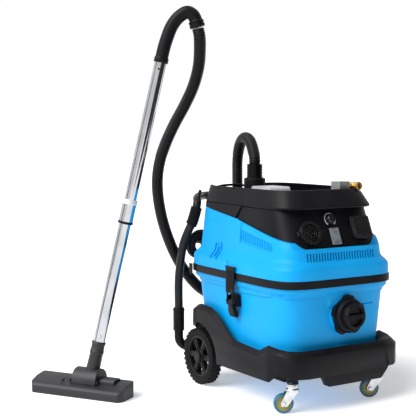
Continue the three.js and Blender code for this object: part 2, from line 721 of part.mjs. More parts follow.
add('lower_tube', lowerTube(), CHROME);
add('snap_button', snapButton(), PALE);
add('tube_sleeve', tubeSleeve(), CHROME);
add('upper_tube', wandTube(JOINT_TOP + GAP, TUBE_TOP), CHROME);
add('wand_handle', wandHandle(), BLACK);

// ---------------------------------------------------------------- floor head
// Local frame of the floor head: X along it, Y to its back, Z up.
const HEAD_FRAME = frame(HEAD_ALONG, HEAD_BACK, at(0, 0, 1), at(FLOOR_HEAD.x, FLOOR_HEAD.y, 0));

function inHead(geometry) {
  return solid(geometry.applyMatrix4(HEAD_FRAME));
}

function headBox(x0, x1, y0, y1, z0, z1) {
  const box = new THREE.BoxGeometry(x1 - x0, y1 - y0, z1 - z0);
  return inHead(box.translate((x0 + x1) / 2, (y0 + y1) / 2, (z0 + z1) / 2));
}

function barrel(radius, halfLength, sides) {
  const cylinder = new THREE.CylinderGeometry(radius, radius, 2 * halfLength, sides);
  cylinder.rotateZ(Math.PI / 2);
  return inHead(cylinder.translate(FLOOR_HEAD.pivotAlong, FLOOR_HEAD.pivotBack, FLOOR_HEAD.pivotZ));
}

const PEDAL = { x0: 69, x1: 121, y0: -14, y1: 28 };

function floorHead() {
  const side = prism([[-52, 0], [-52, 24], [-45, 31], [-8, 45], [34, 51], [52, 44], [52, 0]], 334);
  side.applyMatrix4(frame(at(0, 1, 0), at(0, 0, 1), at(1, 0, 0), at(-167, 0, 0)));
  const plan = [
    [-167, -36], [-153, -53], [153, -53], [167, -36], [167, 30], [148, 53], [-148, 53], [-167, 30],
  ];
  const body = inHead(side).intersect(inHead(prism(plan, 80)));
  const mouth = headBox(-140, 140, -34, -14, -5, 14);
  const pedalWell = headBox(PEDAL.x0 - 1, PEDAL.x1 + 1, PEDAL.y0 - 1, PEDAL.y1 + 1, 33, 80);
  return body.subtract(mouth).subtract(pedalWell).subtract(barrel(38.8, 45, 26));
}

function neck() {
  const tube = rod(WAND_FOOT, alongWand(NECK_TOP), 20, 16, 22.5);
  return barrel(38, 44, 24).add(tube);
}

function pedal() {
  const { x0, x1, y0, y1 } = PEDAL;
  const side = prism([[y0, 37], [y1, 37], [y1, 56], [y0 + 6, 57], [y0, 50]], x1 - x0);
  side.applyMatrix4(frame(at(0, 1, 0), at(0, 0, 1), at(1, 0, 0), at(x0, 0, 0)));
  return inHead(side);
}

add('floor_head', floorHead(), BLACK);
add('neck', neck(), BLACK);
add('pedal', pedal(), BLACK);

// ---------------------------------------------------------------- suction hose
// It leaves the wand handle downwards, sags behind the machine and rises into a loop over the hose collar.
const HOSE_ROUTE = [
  [-291, 75.3, 1140.2], [-286.5, 74, 1118], [-273, 94, 1080], [-259, 125, 1028], [-258, 158, 970],
  [-269, 193, 911], [-289, 225, 850], [-305, 254, 789], [-313, 279, 731], [-311, 300, 674], [-300, 317, 616],
  [-281, 331, 552], [-256, 341, 488], [-225, 348, 425], [-190, 351, 367], [-152, 352, 320], [-110, 352, 281],
  [-62, 353, 259], [-18, 351, 279], [6, 346, 335], [12, 338, 400], [14, 326, 470], [15, 317, 540],
  [15, 314, 610], [14, 314, 676], [12, 310, 730], [5, 288, 775], [-7, 250, 800], [-22, 205, 805],
  [-36, 162, 793], [-48, 128, 765], [-54, 110, 738], [-54, 110, 721.6],
];

add('suction_hose', sweep(HOSE_ROUTE, HOSE_RADIUS, 52, 8), RUBBER);

// ---------------------------------------------------------------- power cord, wound on a hook at the back
function strainRelief() {
  return rod(at(-70, 256, 537), at(-70, 291, 517), 9, 16, 5).subtract(headVolume(GAP));
}

const HANK = { x: -116, z: 441, halfRun: 30, outer: 46.5, inner: 17, y0: 297, y1: 327 };

function racetrack(radius) {
  const outline = new THREE.Shape();
  outline.moveTo(HANK.halfRun, -radius);
  outline.absarc(HANK.halfRun, 0, radius, -Math.PI / 2, Math.PI / 2, false);
  outline.absarc(-HANK.halfRun, 0, radius, Math.PI / 2, (3 * Math.PI) / 2, false);
  return outline.getPoints(8);
}

function cordHank() {
  const outline = new THREE.Shape(racetrack(HANK.outer));
  outline.holes.push(new THREE.Path(racetrack(HANK.inner)));
  const hank = new THREE.ExtrudeGeometry(outline, { depth: HANK.y1 - HANK.y0, bevelEnabled: false });
  hank.applyMatrix4(frame(at(1, 0, 0), at(0, 0, 1), at(0, -1, 0), at(HANK.x, HANK.y1, HANK.z)));
  return solid(hank);
}

function powerCord() {
  const path = [
    [-70, 291.5, 516.7], [-70, 300, 511.2], [-70.5, 307.3, 504], [-71.5, 311.5, 496],
    [-72.5, 312.6, HANK.z + HANK.outer + GAP],
  ];
  return sweep(path, CORD_RADIUS, 8, 8);
}

function cableHook() {
  const arm = block(-150, -82, 288.6, 332, 447, 457);
  const lip = block(-146, -86, HANK.y1 + GAP, 333, 447, 474);
  const foot = block(-150, -82, 262, 292, 426, 466).subtract(headVolume(GAP));
  return joined(arm, lip, foot).subtract(headVolume(GAP));
}

function plug() {
  const body = turned([[0, 0], [19, 0], [19, 6], [15, 12], [15, 30], [8, 40], [5, 44], [0, 44]],
    at(-100, 312, 350.2), at(0, 0, 1), 14);
  const pins = [-9.5, 9.5].map((x) => rod(at(-100 + x, 312, 332), at(-100 + x, 312, 352), 2.4, 8));
  return joined(body, ...pins);
}

add('strain_relief', strainRelief(), RUBBER);
add('power_cord', powerCord(), RUBBER);
add('cord_hank', cordHank(), RUBBER);
add('cable_hook', cableHook(), BLACK);
add('power_plug', plug(), RUBBER);

// ---------------------------------------------------------------- assembly
// The origin is on the floor under the middle of the object, without its hose and power cord.
const LOOSE = ['suction_hose', 'strain_relief', 'power_cord', 'cord_hank', 'power_plug'];
const bounds = new THREE.Box3();
pieces.filter((piece) => !LOOSE.includes(piece.name)).forEach((piece) => bounds.expandByObject(piece));
const middle = bounds.getCenter(at(0, 0, 0));

const extractor = new THREE.Group();
extractor.name = 'dust_extractor';
extractor.position.set(-middle.x, -middle.y, -bounds.min.z);
extractor.add(...pieces);

export default extractor;
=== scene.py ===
import math

import bmesh
import bpy
from mathutils import Matrix, Vector


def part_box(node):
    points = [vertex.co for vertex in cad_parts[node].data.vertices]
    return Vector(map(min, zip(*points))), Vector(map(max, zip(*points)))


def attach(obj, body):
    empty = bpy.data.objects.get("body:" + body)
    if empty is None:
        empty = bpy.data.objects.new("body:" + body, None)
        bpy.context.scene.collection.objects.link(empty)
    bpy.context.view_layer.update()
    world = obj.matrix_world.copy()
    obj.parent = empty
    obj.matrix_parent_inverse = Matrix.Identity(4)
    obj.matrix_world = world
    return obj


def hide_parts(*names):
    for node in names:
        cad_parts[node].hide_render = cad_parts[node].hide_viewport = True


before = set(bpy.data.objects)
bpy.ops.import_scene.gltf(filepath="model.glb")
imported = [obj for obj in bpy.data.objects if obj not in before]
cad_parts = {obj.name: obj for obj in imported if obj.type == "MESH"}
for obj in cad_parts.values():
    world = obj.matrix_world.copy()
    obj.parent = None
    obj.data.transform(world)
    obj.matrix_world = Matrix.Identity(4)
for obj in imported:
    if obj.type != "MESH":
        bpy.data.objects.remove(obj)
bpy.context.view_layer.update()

# ---------------------------------------------------------------- studio
# A white floor and backdrop in dim white light, with a soft sun on the machine's left side. Black
# cloth flags show only in shiny parts, and a long lens stands a few paces back at table height.
FLOOR_REACH = 30
ROOM_STRENGTH = 0.3
FLAG_FOOT, FLAG_HEIGHT = 0.05, 3.2
FLAGS = (("right", (1.5, -1.05), 0.5), ("left", (-2.1, 0.6), 0.22), ("front", (0.9, -3.05), 2.2))
tank_low, tank_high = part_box("tank")
middle = (tank_low + tank_high) / 2


def spot(x, y, z):
    """A point given in millimetres from the machine's middle and the floor, in the shared frame."""
    return Vector((middle.x + x / 1000, middle.y + y / 1000, z / 1000))


def new_material(name):
    material = bpy.data.materials.new(name)
    material.use_nodes = True
    nodes = material.node_tree.nodes
    return material, nodes, material.node_tree.links, nodes["Principled BSDF"]


def speckle(nodes, links, scale, low, high, detail=3.0):
    """Noise over the surface that runs between two colours."""
    place = nodes.new("ShaderNodeTexCoord")
    noise = nodes.new("ShaderNodeTexNoise")
    noise.inputs["Scale"].default_value = scale
    noise.inputs["Detail"].default_value = detail
    ramp = nodes.new("ShaderNodeValToRGB")
    ramp.color_ramp.elements[0].position = 0.3
    ramp.color_ramp.elements[0].color = (*low, 1)
    ramp.color_ramp.elements[1].position = 0.7
    ramp.color_ramp.elements[1].color = (*high, 1)
    links.new(place.outputs["Object"], noise.inputs["Vector"])
    links.new(noise.outputs["Fac"], ramp.inputs["Fac"])
    return ramp.outputs["Color"], noise


floor_mesh = bpy.data.meshes.new("studio_floor")
corners = [(x * FLOOR_REACH, y * FLOOR_REACH, 0) for x, y in ((-1, -1), (1, -1), (1, 1), (-1, 1))]
floor_mesh.from_pydata(corners, [], [(0, 1, 2, 3)])
studio_floor = bpy.data.objects.new("studio_floor", floor_mesh)
bpy.context.scene.collection.objects.link(studio_floor)
floor_paint, nodes, links, shader = new_material("studio_paint")
colour, noise = speckle(nodes, links, 3, (0.93, 0.93, 0.935), (0.95, 0.95, 0.95))
links.new(colour, shader.inputs["Base Color"])
shader.inputs["Roughness"].default_value = 0.9
shader.inputs["Specular IOR Level"].default_value = 0.1
shader.inputs["Emission Color"].default_value = (1, 1, 1, 1)
shader.inputs["Emission Strength"].default_value = 0.35
floor_mesh.materials.append(floor_paint)

world = bpy.data.worlds.new("studio_light")
bpy.context.scene.world = world
world.use_nodes = True
world_nodes, world_links = world.node_tree.nodes, world.node_tree.links
room_light = world_nodes["Background"]
room_light.inputs["Color"].default_value = (1, 1, 1, 1)
room_light.inputs["Strength"].default_value = ROOM_STRENGTH
white_backdrop = world_nodes.new("ShaderNodeBackground")
white_backdrop.inputs["Color"].default_value = (1, 1, 1, 1)
seen = world_nodes.new("ShaderNodeLightPath")
seen_white = world_nodes.new("ShaderNodeMath")
seen_white.operation = "MAXIMUM"
surroundings = world_nodes.new("ShaderNodeMixShader")
world_links.new(seen.outputs["Is Camera Ray"], seen_white.inputs[0])
world_links.new(seen.outputs["Is Glossy Ray"], seen_white.inputs[1])
world_links.new(seen_white.outputs["Value"], surroundings.inputs["Fac"])
world_links.new(room_light.outputs["Background"], surroundings.inputs[1])
world_links.new(white_backdrop.outputs["Background"], surroundings.inputs[2])
world_links.new(surroundings.outputs["Shader"], world_nodes["World Output"].inputs["Surface"])

sun = bpy.data.objects.new("sun", bpy.data.lights.new("sun", "SUN"))
sun.data.energy = 4.2
sun.data.angle = math.radians(50)
sun.rotation_euler = (math.radians(46), 0, math.radians(-90))
bpy.context.scene.collection.objects.link(sun)
bpy.context.scene.view_settings.view_transform = "Standard"

flag_cloth, nodes, links, shader = new_material("flag_cloth")
colour, noise = speckle(nodes, links, 5, (0.004, 0.004, 0.004), (0.012, 0.012, 0.012))
links.new(colour, shader.inputs["Base Color"])
for name, place, half_width in FLAGS:
    foot = Vector((*place, FLAG_FOOT))
    across = Vector((place[1], -place[0], 0)).normalized() * half_width
    rise = Vector((0, 0, FLAG_HEIGHT))
    corners = [foot + across, foot - across, foot - across + rise, foot + across + rise]
    flag_mesh = bpy.data.meshes.new(f"black_flag_{name}")
    flag_mesh.from_pydata(corners, [], [(0, 1, 2, 3)])
    flag_mesh.materials.append(flag_cloth)
    flag = bpy.data.objects.new(f"black_flag_{name}", flag_mesh)
    bpy.context.scene.collection.objects.link(flag)
    flag.visible_camera = False
    flag.visible_diffuse = False
    flag.visible_shadow = False

camera = bpy.data.objects.new("camera", bpy.data.cameras.new("camera"))
camera.data.sensor_width = 36
camera.data.lens = 83.17
camera.data.clip_end = 60
camera.location = spot(-1840.9, -2472.7, 816.1)
camera.rotation_euler = (math.radians(90 - 4.37), 0, math.radians(-31.9))
bpy.context.scene.collection.objects.link(camera)
bpy.context.scene.camera = camera

# ---------------------------------------------------------------- suction hose
# Just under two metres of corrugated polyethylene hose, 38 mm across over the ribs. It is blown into a
# travelling mould that leaves the ribs, and screws into a cuff at each end.
HOSE_RADIUS = 19
HOSE_GROOVE = 1.5
HOSE_PITCH = 6.5
hose_route = [
    (-0.291, 0.0753, 1.1402), (-0.2865, 0.074, 1.118), (-0.273, 0.094, 1.08), (-0.259, 0.125, 1.028),
    (-0.258, 0.158, 0.97), (-0.269, 0.193, 0.911), (-0.289, 0.225, 0.85), (-0.305, 0.254, 0.789),
    (-0.313, 0.279, 0.731), (-0.311, 0.3, 0.674), (-0.3, 0.317, 0.616), (-0.281, 0.331, 0.552),
    (-0.256, 0.341, 0.488), (-0.225, 0.348, 0.425), (-0.19, 0.351, 0.367), (-0.152, 0.352, 0.32),
    (-0.11, 0.352, 0.281), (-0.062, 0.353, 0.259), (-0.018, 0.351, 0.279), (0.006, 0.346, 0.335),
    (0.012, 0.338, 0.4), (0.014, 0.326, 0.47), (0.015, 0.317, 0.54), (0.015, 0.314, 0.61),
    (0.014, 0.314, 0.676), (0.012, 0.31, 0.73), (0.005, 0.288, 0.775), (-0.007, 0.25, 0.8),
    (-0.022, 0.205, 0.805), (-0.036, 0.162, 0.793), (-0.048, 0.128, 0.765), (-0.054, 0.11, 0.738),
    (-0.054, 0.11, 0.7216),
]


def smooth_line(points, step):
    """Points in millimetres, a step apart, on one smooth curve through the given ones."""
    ends = [2 * points[0] - points[1], *points, 2 * points[-1] - points[-2]]
    dense = []
    for p0, p1, p2, p3 in zip(ends, ends[1:], ends[2:], ends[3:]):
        gaps = [max((b - a).length ** 0.5, 1e-4) for a, b in ((p0, p1), (p1, p2), (p2, p3))]
        d0, d1, d2 = gaps
        t1 = ((p1 - p0) / d0 - (p2 - p0) / (d0 + d1) + (p2 - p1) / d1) * d1
        t2 = ((p2 - p1) / d1 - (p3 - p1) / (d1 + d2) + (p3 - p2) / d2) * d1
        for i in range(24):
            t = i / 24
            dense.append(
                p1 + t1 * t + (3 * (p2 - p1) - 2 * t1 - t2) * t**2 + (2 * (p1 - p2) + t1 + t2) * t**3,
            )
    dense.append(points[-1])
    line, spare = [dense[0]], 0.0
    for a, b in zip(dense, dense[1:]):
        length = (b - a).length
        where = step - spare
        while where <= length:
            line.append(a.lerp(b, where / length))
            where += step
        spare = length - (where - step)
    if (line[-1] - points[-1]).length > step * 0.4:
        line.append(points[-1])
    else:
        line[-1] = points[-1]
    return line


def tube(line, radius, sides):
    """Skin of a tube along a line; radius may be a function of the distance along it."""
    verts, faces, along = [], [], 0.0
    direction = (line[1] - line[0]).normalized()
    side = direction.orthogonal().normalized()
    for i, point in enumerate(line):
        ahead = line[min(i + 1, len(line) - 1)] - line[max(i - 1, 0)]
        if ahead.length > 0:
            turn = direction.rotation_difference(ahead.normalized())
            side = (turn @ side).normalized()
            direction = ahead.normalized()
        up = direction.cross(side)
        along += (point - line[i - 1]).length if i else 0
        reach = radius(along) if callable(radius) else radius
        for k in range(sides):
            angle = 2 * math.pi * k / sides
            verts.append(point + reach * (math.cos(angle) * side + math.sin(angle) * up))
    for i in range(len(line) - 1):
        for k in range(sides):
            a, b = i * sides + k, i * sides + (k + 1) % sides
            faces.append((a, b, b + sides, a + sides))
    faces.append(tuple(reversed(range(sides))))
    faces.append(tuple(range((len(line) - 1) * sides, len(line) * sides)))
    return verts, faces


def shaped(name, *parts):
    """One mesh object from parts given in millimetres round the machine's middle."""
    mesh, verts, faces = bpy.data.meshes.new(name), [], []
    for part_verts, part_faces in parts:
        faces += [tuple(i + len(verts) for i in face) for face in part_faces]
        verts += [spot(*v) for v in part_verts]
    mesh.from_pydata(verts, [], faces)
    piece = bpy.data.objects.new(name, mesh)
    bpy.context.scene.collection.objects.link(piece)
    return piece


def finished(piece, material, slot, body, *nodes_replaced, edge=0.0, angle=32, segments=2):
    """Rounds the edges, gives the finish and sets the piece on its body in place of the CAD nodes."""
    mesh = piece.data
    build = bmesh.new()
    build.from_mesh(mesh)
    bmesh.ops.recalc_face_normals(build, faces=build.faces)
    build.to_mesh(mesh)
    build.free()
    mesh.shade_smooth()
    if edge:
        bevel = piece.modifiers.new("rounded_edges", "BEVEL")
        bevel.width = edge / 1000
        bevel.segments = segments
        bevel.limit_method = "ANGLE"
        bevel.angle_limit = math.radians(angle)
        bevel.harden_normals = True
    else:
        mesh.set_sharp_from_angle(angle=math.radians(angle))
    mesh.materials.clear()
    mesh.materials.append(material)
    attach(piece, body)
    if nodes_replaced:
        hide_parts(*nodes_replaced)
    return piece


def relief(nodes, links, shader, height, distance, strength):
    """Fine unevenness of the surface, from a height value."""
    bump = nodes.new("ShaderNodeBump")
    bump.inputs["Distance"].default_value = distance
    bump.inputs["Strength"].default_value = strength
    links.new(height, bump.inputs["Height"])
    links.new(bump.outputs["Normal"], shader.inputs["Normal"])


def varied_roughness(nodes, links, shader, noise, low, high):
    """Roughness that wanders between two values over the surface."""
    spread = nodes.new("ShaderNodeMapRange")
    spread.inputs["To Min"].default_value = low
    spread.inputs["To Max"].default_value = high
    links.new(noise.outputs["Fac"], spread.inputs["Value"])
    links.new(spread.outputs["Result"], shader.inputs["Roughness"])


def moulded(name, low, high, smooth, rough, scale, distance, gloss=0.35):
    """A moulded finish: cloudy colour from low to high, and a fine grain of the given scale and depth."""
    material, nodes, links, shader = new_material(name)
    colour, noise = speckle(nodes, links, 14, low, high)
    links.new(colour, shader.inputs["Base Color"])
    varied_roughness(nodes, links, shader, noise, smooth, rough)
    _, grain = speckle(nodes, links, scale, low, high, 2.0)
    relief(nodes, links, shader, grain.outputs["Fac"], distance, 0.35)
    shader.inputs["Specular IOR Level"].default_value = gloss
    return material


hose_black = moulded(
    "hose_black", (0.003, 0.003, 0.004), (0.006, 0.006, 0.007), 0.3, 0.45, 500, 0.00012, 0.16,
)
hose_line = smooth_line([Vector((1000 * x, 1000 * y, 1000 * z)) for x, y, z in hose_route], HOSE_PITCH / 5)


def rib(along):
    """Outside radius at a distance along the hose, with one rib to each pitch."""
    wave = 0.5 - 0.5 * math.cos(2 * math.pi * along / HOSE_PITCH)
    return HOSE_RADIUS - HOSE_GROOVE * (1 - wave**0.7)


suction_hose = shaped("hose", tube(hose_line, rib, 32))
finished(suction_hose, hose_black, "hose_plastic", "head", "suction_hose", angle=80)

# ---------------------------------------------------------------- power cord
# Five metres of 7 mm rubber-sheathed mains lead. It leaves the back of the head through a tapered
# moulded relief, lies in turns on a hook, and enters a moulded plug, below them, from the side.
CORD_RADIUS = 3.5
HANK_X, HANK_Z, HANK_HALF = -116, 441, 30
HANK_TURNS = (43.0, 35.9, 28.8, 21.7)
HANK_LAYERS = (308.3, 301.0, 315.6, 322.9)
HANK_JOIN_POINT, HANK_LEAVE_POINT, FOLD_STEPS = 3, 9, 13
CROSSING_RISE = 7.4
PLUG_X, PLUG_Y = -100, 312
PIN_HALF_PITCH = 9.5
cord_rubber = moulded("cord_rubber", (0.010, 0.010, 0.010), (0.017, 0.017, 0.018), 0.5, 0.65, 300, 0.00008)


def turned(profile, start, direction, sides=48):
    """A turned piece from (radius, height) pairs about an axis; closed when it begins and ends on it."""
    axis = Vector(direction).normalized()
    side = axis.orthogonal().normalized()
    up = axis.cross(side)
    start = Vector(start)
    closed = profile[0] == profile[-1]
    rings = profile[:-1] if closed else profile
    verts, faces, index = [], [], []
    for reach, height in rings:
        centre = start + height * axis
        if reach == 0:
            index.append([len(verts)] * sides)
            verts.append(centre)
            continue
        index.append([len(verts) + k for k in range(sides)])
        for k in range(sides):
            angle = 2 * math.pi * k / sides
            verts.append(centre + reach * (math.cos(angle) * side + math.sin(angle) * up))
    pairs = list(zip(index, index[1:])) + ([(index[-1], index[0])] if closed else [])
    for a, b in pairs:
        for k in range(sides):
            n = (k + 1) % sides
            face = [a[k], a[n], b[n], b[k]]
            face = [v for j, v in enumerate(face) if v not in face[:j]]
            if len(face) > 2:
                faces.append(tuple(face))
    return verts, faces


def hank_line():
    """Four layers of turns: inwards, outwards, over the first two, then inwards and outwards again."""
    line = smooth_line([Vector(p) for p in (
        (-70, 291.5, 516.7), (-70, 295, 514.7), (-70, 302.4, 508.5), (-69.3, 307, 500), (-66.6, 308.6, 489),
    )], 4)[:-1]
    for layer, depth in enumerate(HANK_LAYERS):
        for turn, reach in enumerate(HANK_TURNS if layer % 2 == 0 else HANK_TURNS[::-1]):
            last_turn = turn == len(HANK_TURNS) - 1
            crosses_over = layer == 1 and last_turn
            comes_off = layer == 3 and last_turn
            first = HANK_JOIN_POINT if layer == turn == 0 else 0
            last = HANK_LEAVE_POINT if comes_off else FOLD_STEPS
            for k in range(first, last + 1):
                angle = math.pi / 2 - math.pi * k / FOLD_STEPS
                across, rise = reach * math.cos(angle), reach * math.sin(angle)
                line.append(Vector((HANK_X + HANK_HALF + across, depth, HANK_Z + rise)))
            for k in range(0 if comes_off else FOLD_STEPS + 1):
                share = k / FOLD_STEPS
                angle = -math.pi / 2 - math.pi * k / FOLD_STEPS
                bulge = reach + (CROSSING_RISE * share**2 * (3 - 2 * share) if crosses_over else 0)
                across, rise = bulge * math.cos(angle), bulge * math.sin(angle)
                line.append(Vector((HANK_X - HANK_HALF + across, depth, HANK_Z + rise)))
    return line + [Vector(p) for p in (
        (-58.3, 322.9, 406.1), (-65.7, 322.5, 395.4), (-73.5, 320.8, 386.4), (-81.5, 318.4, 378),
    )]


power_line = smooth_line(hank_line(), 4)
power_lead = shaped("power_lead", tube(power_line, CORD_RADIUS, 12))
finished(power_lead, cord_rubber, "cord_rubber", "head", "power_cord", "cord_hank", angle=80)
relief_profile = [(0, 0), (9.5, 0), (9.5, 3), (8.6, 4)]
for ring in range(6):
    base = 6 + 5 * ring
    reach = 8.4 - 0.6 * ring
    relief_profile += [(reach, base), (reach, base + 3), (reach - 1.6, base + 3.4), (reach - 1.7, base + 4.6)]
relief_profile += [(4.6, 37.5), (4.4, 39.6), (0, 39.6)]
lead_relief = shaped("lead_relief", turned(relief_profile, (-70, 256.6, 536.6), (0, 35, -20), 28))
finished(lead_relief, cord_rubber, "cord_rubber", "head", "strain_relief", edge=0.3)
plug_profile = [
    (0, 0), (17.5, 0), (19, 1.5), (19, 5), (16.6, 9), (15.4, 13), (15.4, 20), (14.4, 25), (11.5, 29), (6, 31),
    (0, 31.4),
]
cord_entry = [
    (0, 0), (8.6, 0), (8.6, 14), (7, 17), (7, 19), (6, 20), (6, 22), (5.2, 23), (5, 27.4), (0, 28.4),
]
pin = [(0, 0), (1.6, 0), (2.4, 1.6), (2.4, 19), (0, 19)]
mains_plug = shaped(
    "mains_plug", turned(plug_profile, (PLUG_X, PLUG_Y, 350.4), (0, 0, 1), 32),
    turned(pin, (PLUG_X - PIN_HALF_PITCH, PLUG_Y, 332), (0, 0, 1), 16),
    turned(pin, (PLUG_X + PIN_HALF_PITCH, PLUG_Y, 332), (0, 0, 1), 16),
    turned(cord_entry, (-101.1, 312.8, 359), (19.6, 5.6, 19), 24),
)
finished(mains_plug, cord_rubber, "cord_rubber", "head", "power_plug", edge=0.4)

# ---------------------------------------------------------------- trolley
# A low tray moulded in black polypropylene, with a bevelled upper edge that rises over the rear
# wheels. The tank drops into it; the casters bolt up into bosses under its front corners.
black_plastic = moulded(
    "black_plastic", (0.0035, 0.0034, 0.0045), (0.006, 0.0058, 0.0075), 0.38, 0.5, 700, 0.00006, 0.13,
)


def metal(name, scale, low, high, smooth, rough, detail=4, metallic=1.0, bumps=None):
    """A bare metal finish; bumps is the depth and strength of its unevenness, when it has any."""
    material, nodes, links, shader = new_material(name)
    colour, noise = speckle(nodes, links, scale, low, high, detail)
    links.new(colour, shader.inputs["Base Color"])
    varied_roughness(nodes, links, shader, noise, smooth, rough)
    if bumps:
        relief(nodes, links, shader, noise.outputs["Fac"], *bumps)
    shader.inputs["Metallic"].default_value = metallic
    return material


def copied(name, *node_names):
    """A new piece with the outline of CAD nodes, its flat faces made whole."""
    build = bmesh.new()
    for node_name in node_names:
        build.from_mesh(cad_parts[node_name].data)
    bmesh.ops.remove_doubles(build, verts=build.verts, dist=0.00003)
    bmesh.ops.dissolve_limit(build, angle_limit=math.radians(1.5), verts=build.verts, edges=build.edges)
    mesh = bpy.data.meshes.new(name)
    build.to_mesh(mesh)
    build.free()
    piece = bpy.data.objects.new(name, mesh)
    bpy.context.scene.collection.objects.link(piece)
    return piece


zinc_plate = metal("zinc_plate", 60, (0.50, 0.51, 0.52), (0.72, 0.73, 0.74), 0.22, 0.42, bumps=(0.0002, 0.2))
finished(
    copied("trolley", "trolley_base"), black_plastic, "black_plastic", "chassis", "trolley_base", edge=1.6,
)

# ---------------------------------------------------------------- rear wheels
# Two 184 mm wheels on one steel axle: a moulded six-spoke rim with a round hub cap, and a soft
# black tyre with blocks cut across both shoulders.
WHEEL_RADIUS, WHEEL_WIDTH, WHEEL_Y, WHEEL_INNER = 92, 38, 179, 193
SPOKES, TREAD_BLOCKS = 6, 34
BLOCK_FOOT, BLOCK_TOP = 81.5, WHEEL_RADIUS - 0.2
AXLE_RADIUS, AXLE_HALF = 6, 232
tyre_rubber = moulded(
    "tyre_rubber", (0.004, 0.004, 0.0045), (0.007, 0.007, 0.008), 0.6, 0.8, 260, 0.00016, 0.12,
)
rim_black = moulded("rim_black", (0.004, 0.004, 0.005), (0.007, 0.007, 0.008), 0.3, 0.45, 500, 0.00005, 0.16)


def brick(x0, x1, y0, y1, z0, z1):
    """A plain block between two places along each axis."""
    verts = [Vector((x, y, z)) for x in (x0, x1) for y in (y0, y1) for z in (z0, z1)]
    return verts, [(0, 1, 3, 2), (4, 6, 7, 5), (0, 4, 5, 1), (2, 3, 7, 6), (0, 2, 6, 4), (1, 5, 7, 3)]


def plank(outline, axis, start, end):
    """A flat outline given depth along x (pairs are y, z), y (pairs are x, z) or z (pairs are x, y)."""
    def place(a, b, depth):
        return Vector({"x": (depth, a, b), "y": (a, depth, b), "z": (a, b, depth)}[axis])
    count = len(outline)
    verts = [place(a, b, start) for a, b in outline] + [place(a, b, end) for a, b in outline]
    faces = [tuple(range(count)), tuple(reversed(range(count, 2 * count)))]
    faces += [(i, (i + 1) % count, count + (i + 1) % count, count + i) for i in range(count)]
    return verts, faces


def set_down(part, placing):
    """The same part moved and turned by a placing."""
    return [placing @ v for v in part[0]], part[1]


def all_down(parts, placing):
    return [set_down(part, placing) for part in parts]


for side_name, side in (("left", -1), ("right", 1)):
    hub = Vector((side * WHEEL_INNER, WHEEL_Y, WHEEL_RADIUS))
    outward = (side, 0, 0)
    tyre = [
        turned(
            [
                (66.5, 1), (70, 0), (84, 0.3), (88.2, 3), (90.4, 8), (90.4, 30), (88.2, 35), (84, 37.7),
                (70, 38), (66.5, 37), (66.5, 1),
            ],
            hub, outward, 96,
        ),
    ]
    for n in range(TREAD_BLOCKS):
        for block_from, block_to, shift in ((-17.5, -3.5, 0.0), (3.5, 17.5, 0.5)):
            block = brick(block_from, block_to, -4.6, 4.6, BLOCK_FOOT, BLOCK_TOP)
            turn = Matrix.Rotation(2 * math.pi * (n + shift) / TREAD_BLOCKS, 4, "X")
            centre = Matrix.Translation(hub + Vector((side * WHEEL_WIDTH / 2, 0, 0)))
            tyre.append(set_down(block, centre @ turn))
    finished(
        shaped(f"tyre_{side_name}", *tyre), tyre_rubber, "wheel_plastic", f"rear_wheel_{side_name}_body",
        f"rear_wheel_{side_name}", edge=0.5, angle=40,
    )
    rim = [
        turned([(60, 6), (66.2, 2), (66.2, 36), (61, 35), (58, 30), (58, 10), (60, 6)], hub, outward, 96),
        turned([(6.6, 2), (22, 2), (24, 8), (24, 30), (21, 34.5), (6.6, 34.5), (6.6, 2)], hub, outward, 64),
    ]
    for n in range(SPOKES):
        turn = Matrix.Rotation(2 * math.pi * (n + 0.5) / SPOKES, 4, "X")
        centre = Matrix.Translation(hub + Vector((side * 21, 0, 0)))
        spoke = plank([(-7, 22), (7, 22), (10.5, 59.5), (-10.5, 59.5)], "x", -9, 9)
        rib_edge = plank([(-2.2, 22), (2.2, 22), (2.6, 59), (-2.6, 59)], "x", 8 * side - 3, 8 * side + 3)
        rim += [set_down(spoke, centre @ turn), set_down(rib_edge, centre @ turn)]
    finished(
        shaped(f"rim_{side_name}", *rim), rim_black, "wheel_plastic", f"rear_wheel_{side_name}_body",
        edge=0.7,
    )
    cap = turned(
        [(0, 34.7), (20, 34.7), (20, 37), (18, 41), (14, 42.6), (13.4, 41.8), (0, 41.8)], hub, outward, 48,
    )
    finished(
        shaped(f"hub_cap_{side_name}", cap), rim_black, "wheel_plastic", f"rear_wheel_{side_name}_body",
        edge=0.3,
    )

axle_rod = turned(
    [(0, 0), (AXLE_RADIUS, 0), (AXLE_RADIUS, 2 * AXLE_HALF), (0, 2 * AXLE_HALF)],
    (-AXLE_HALF, WHEEL_Y, WHEEL_RADIUS), (1, 0, 0), 32,
)
axle = shaped("axle", axle_rod)
finished(axle, zinc_plate, "zinc_steel", "chassis", "rear_axle", edge=0.5)

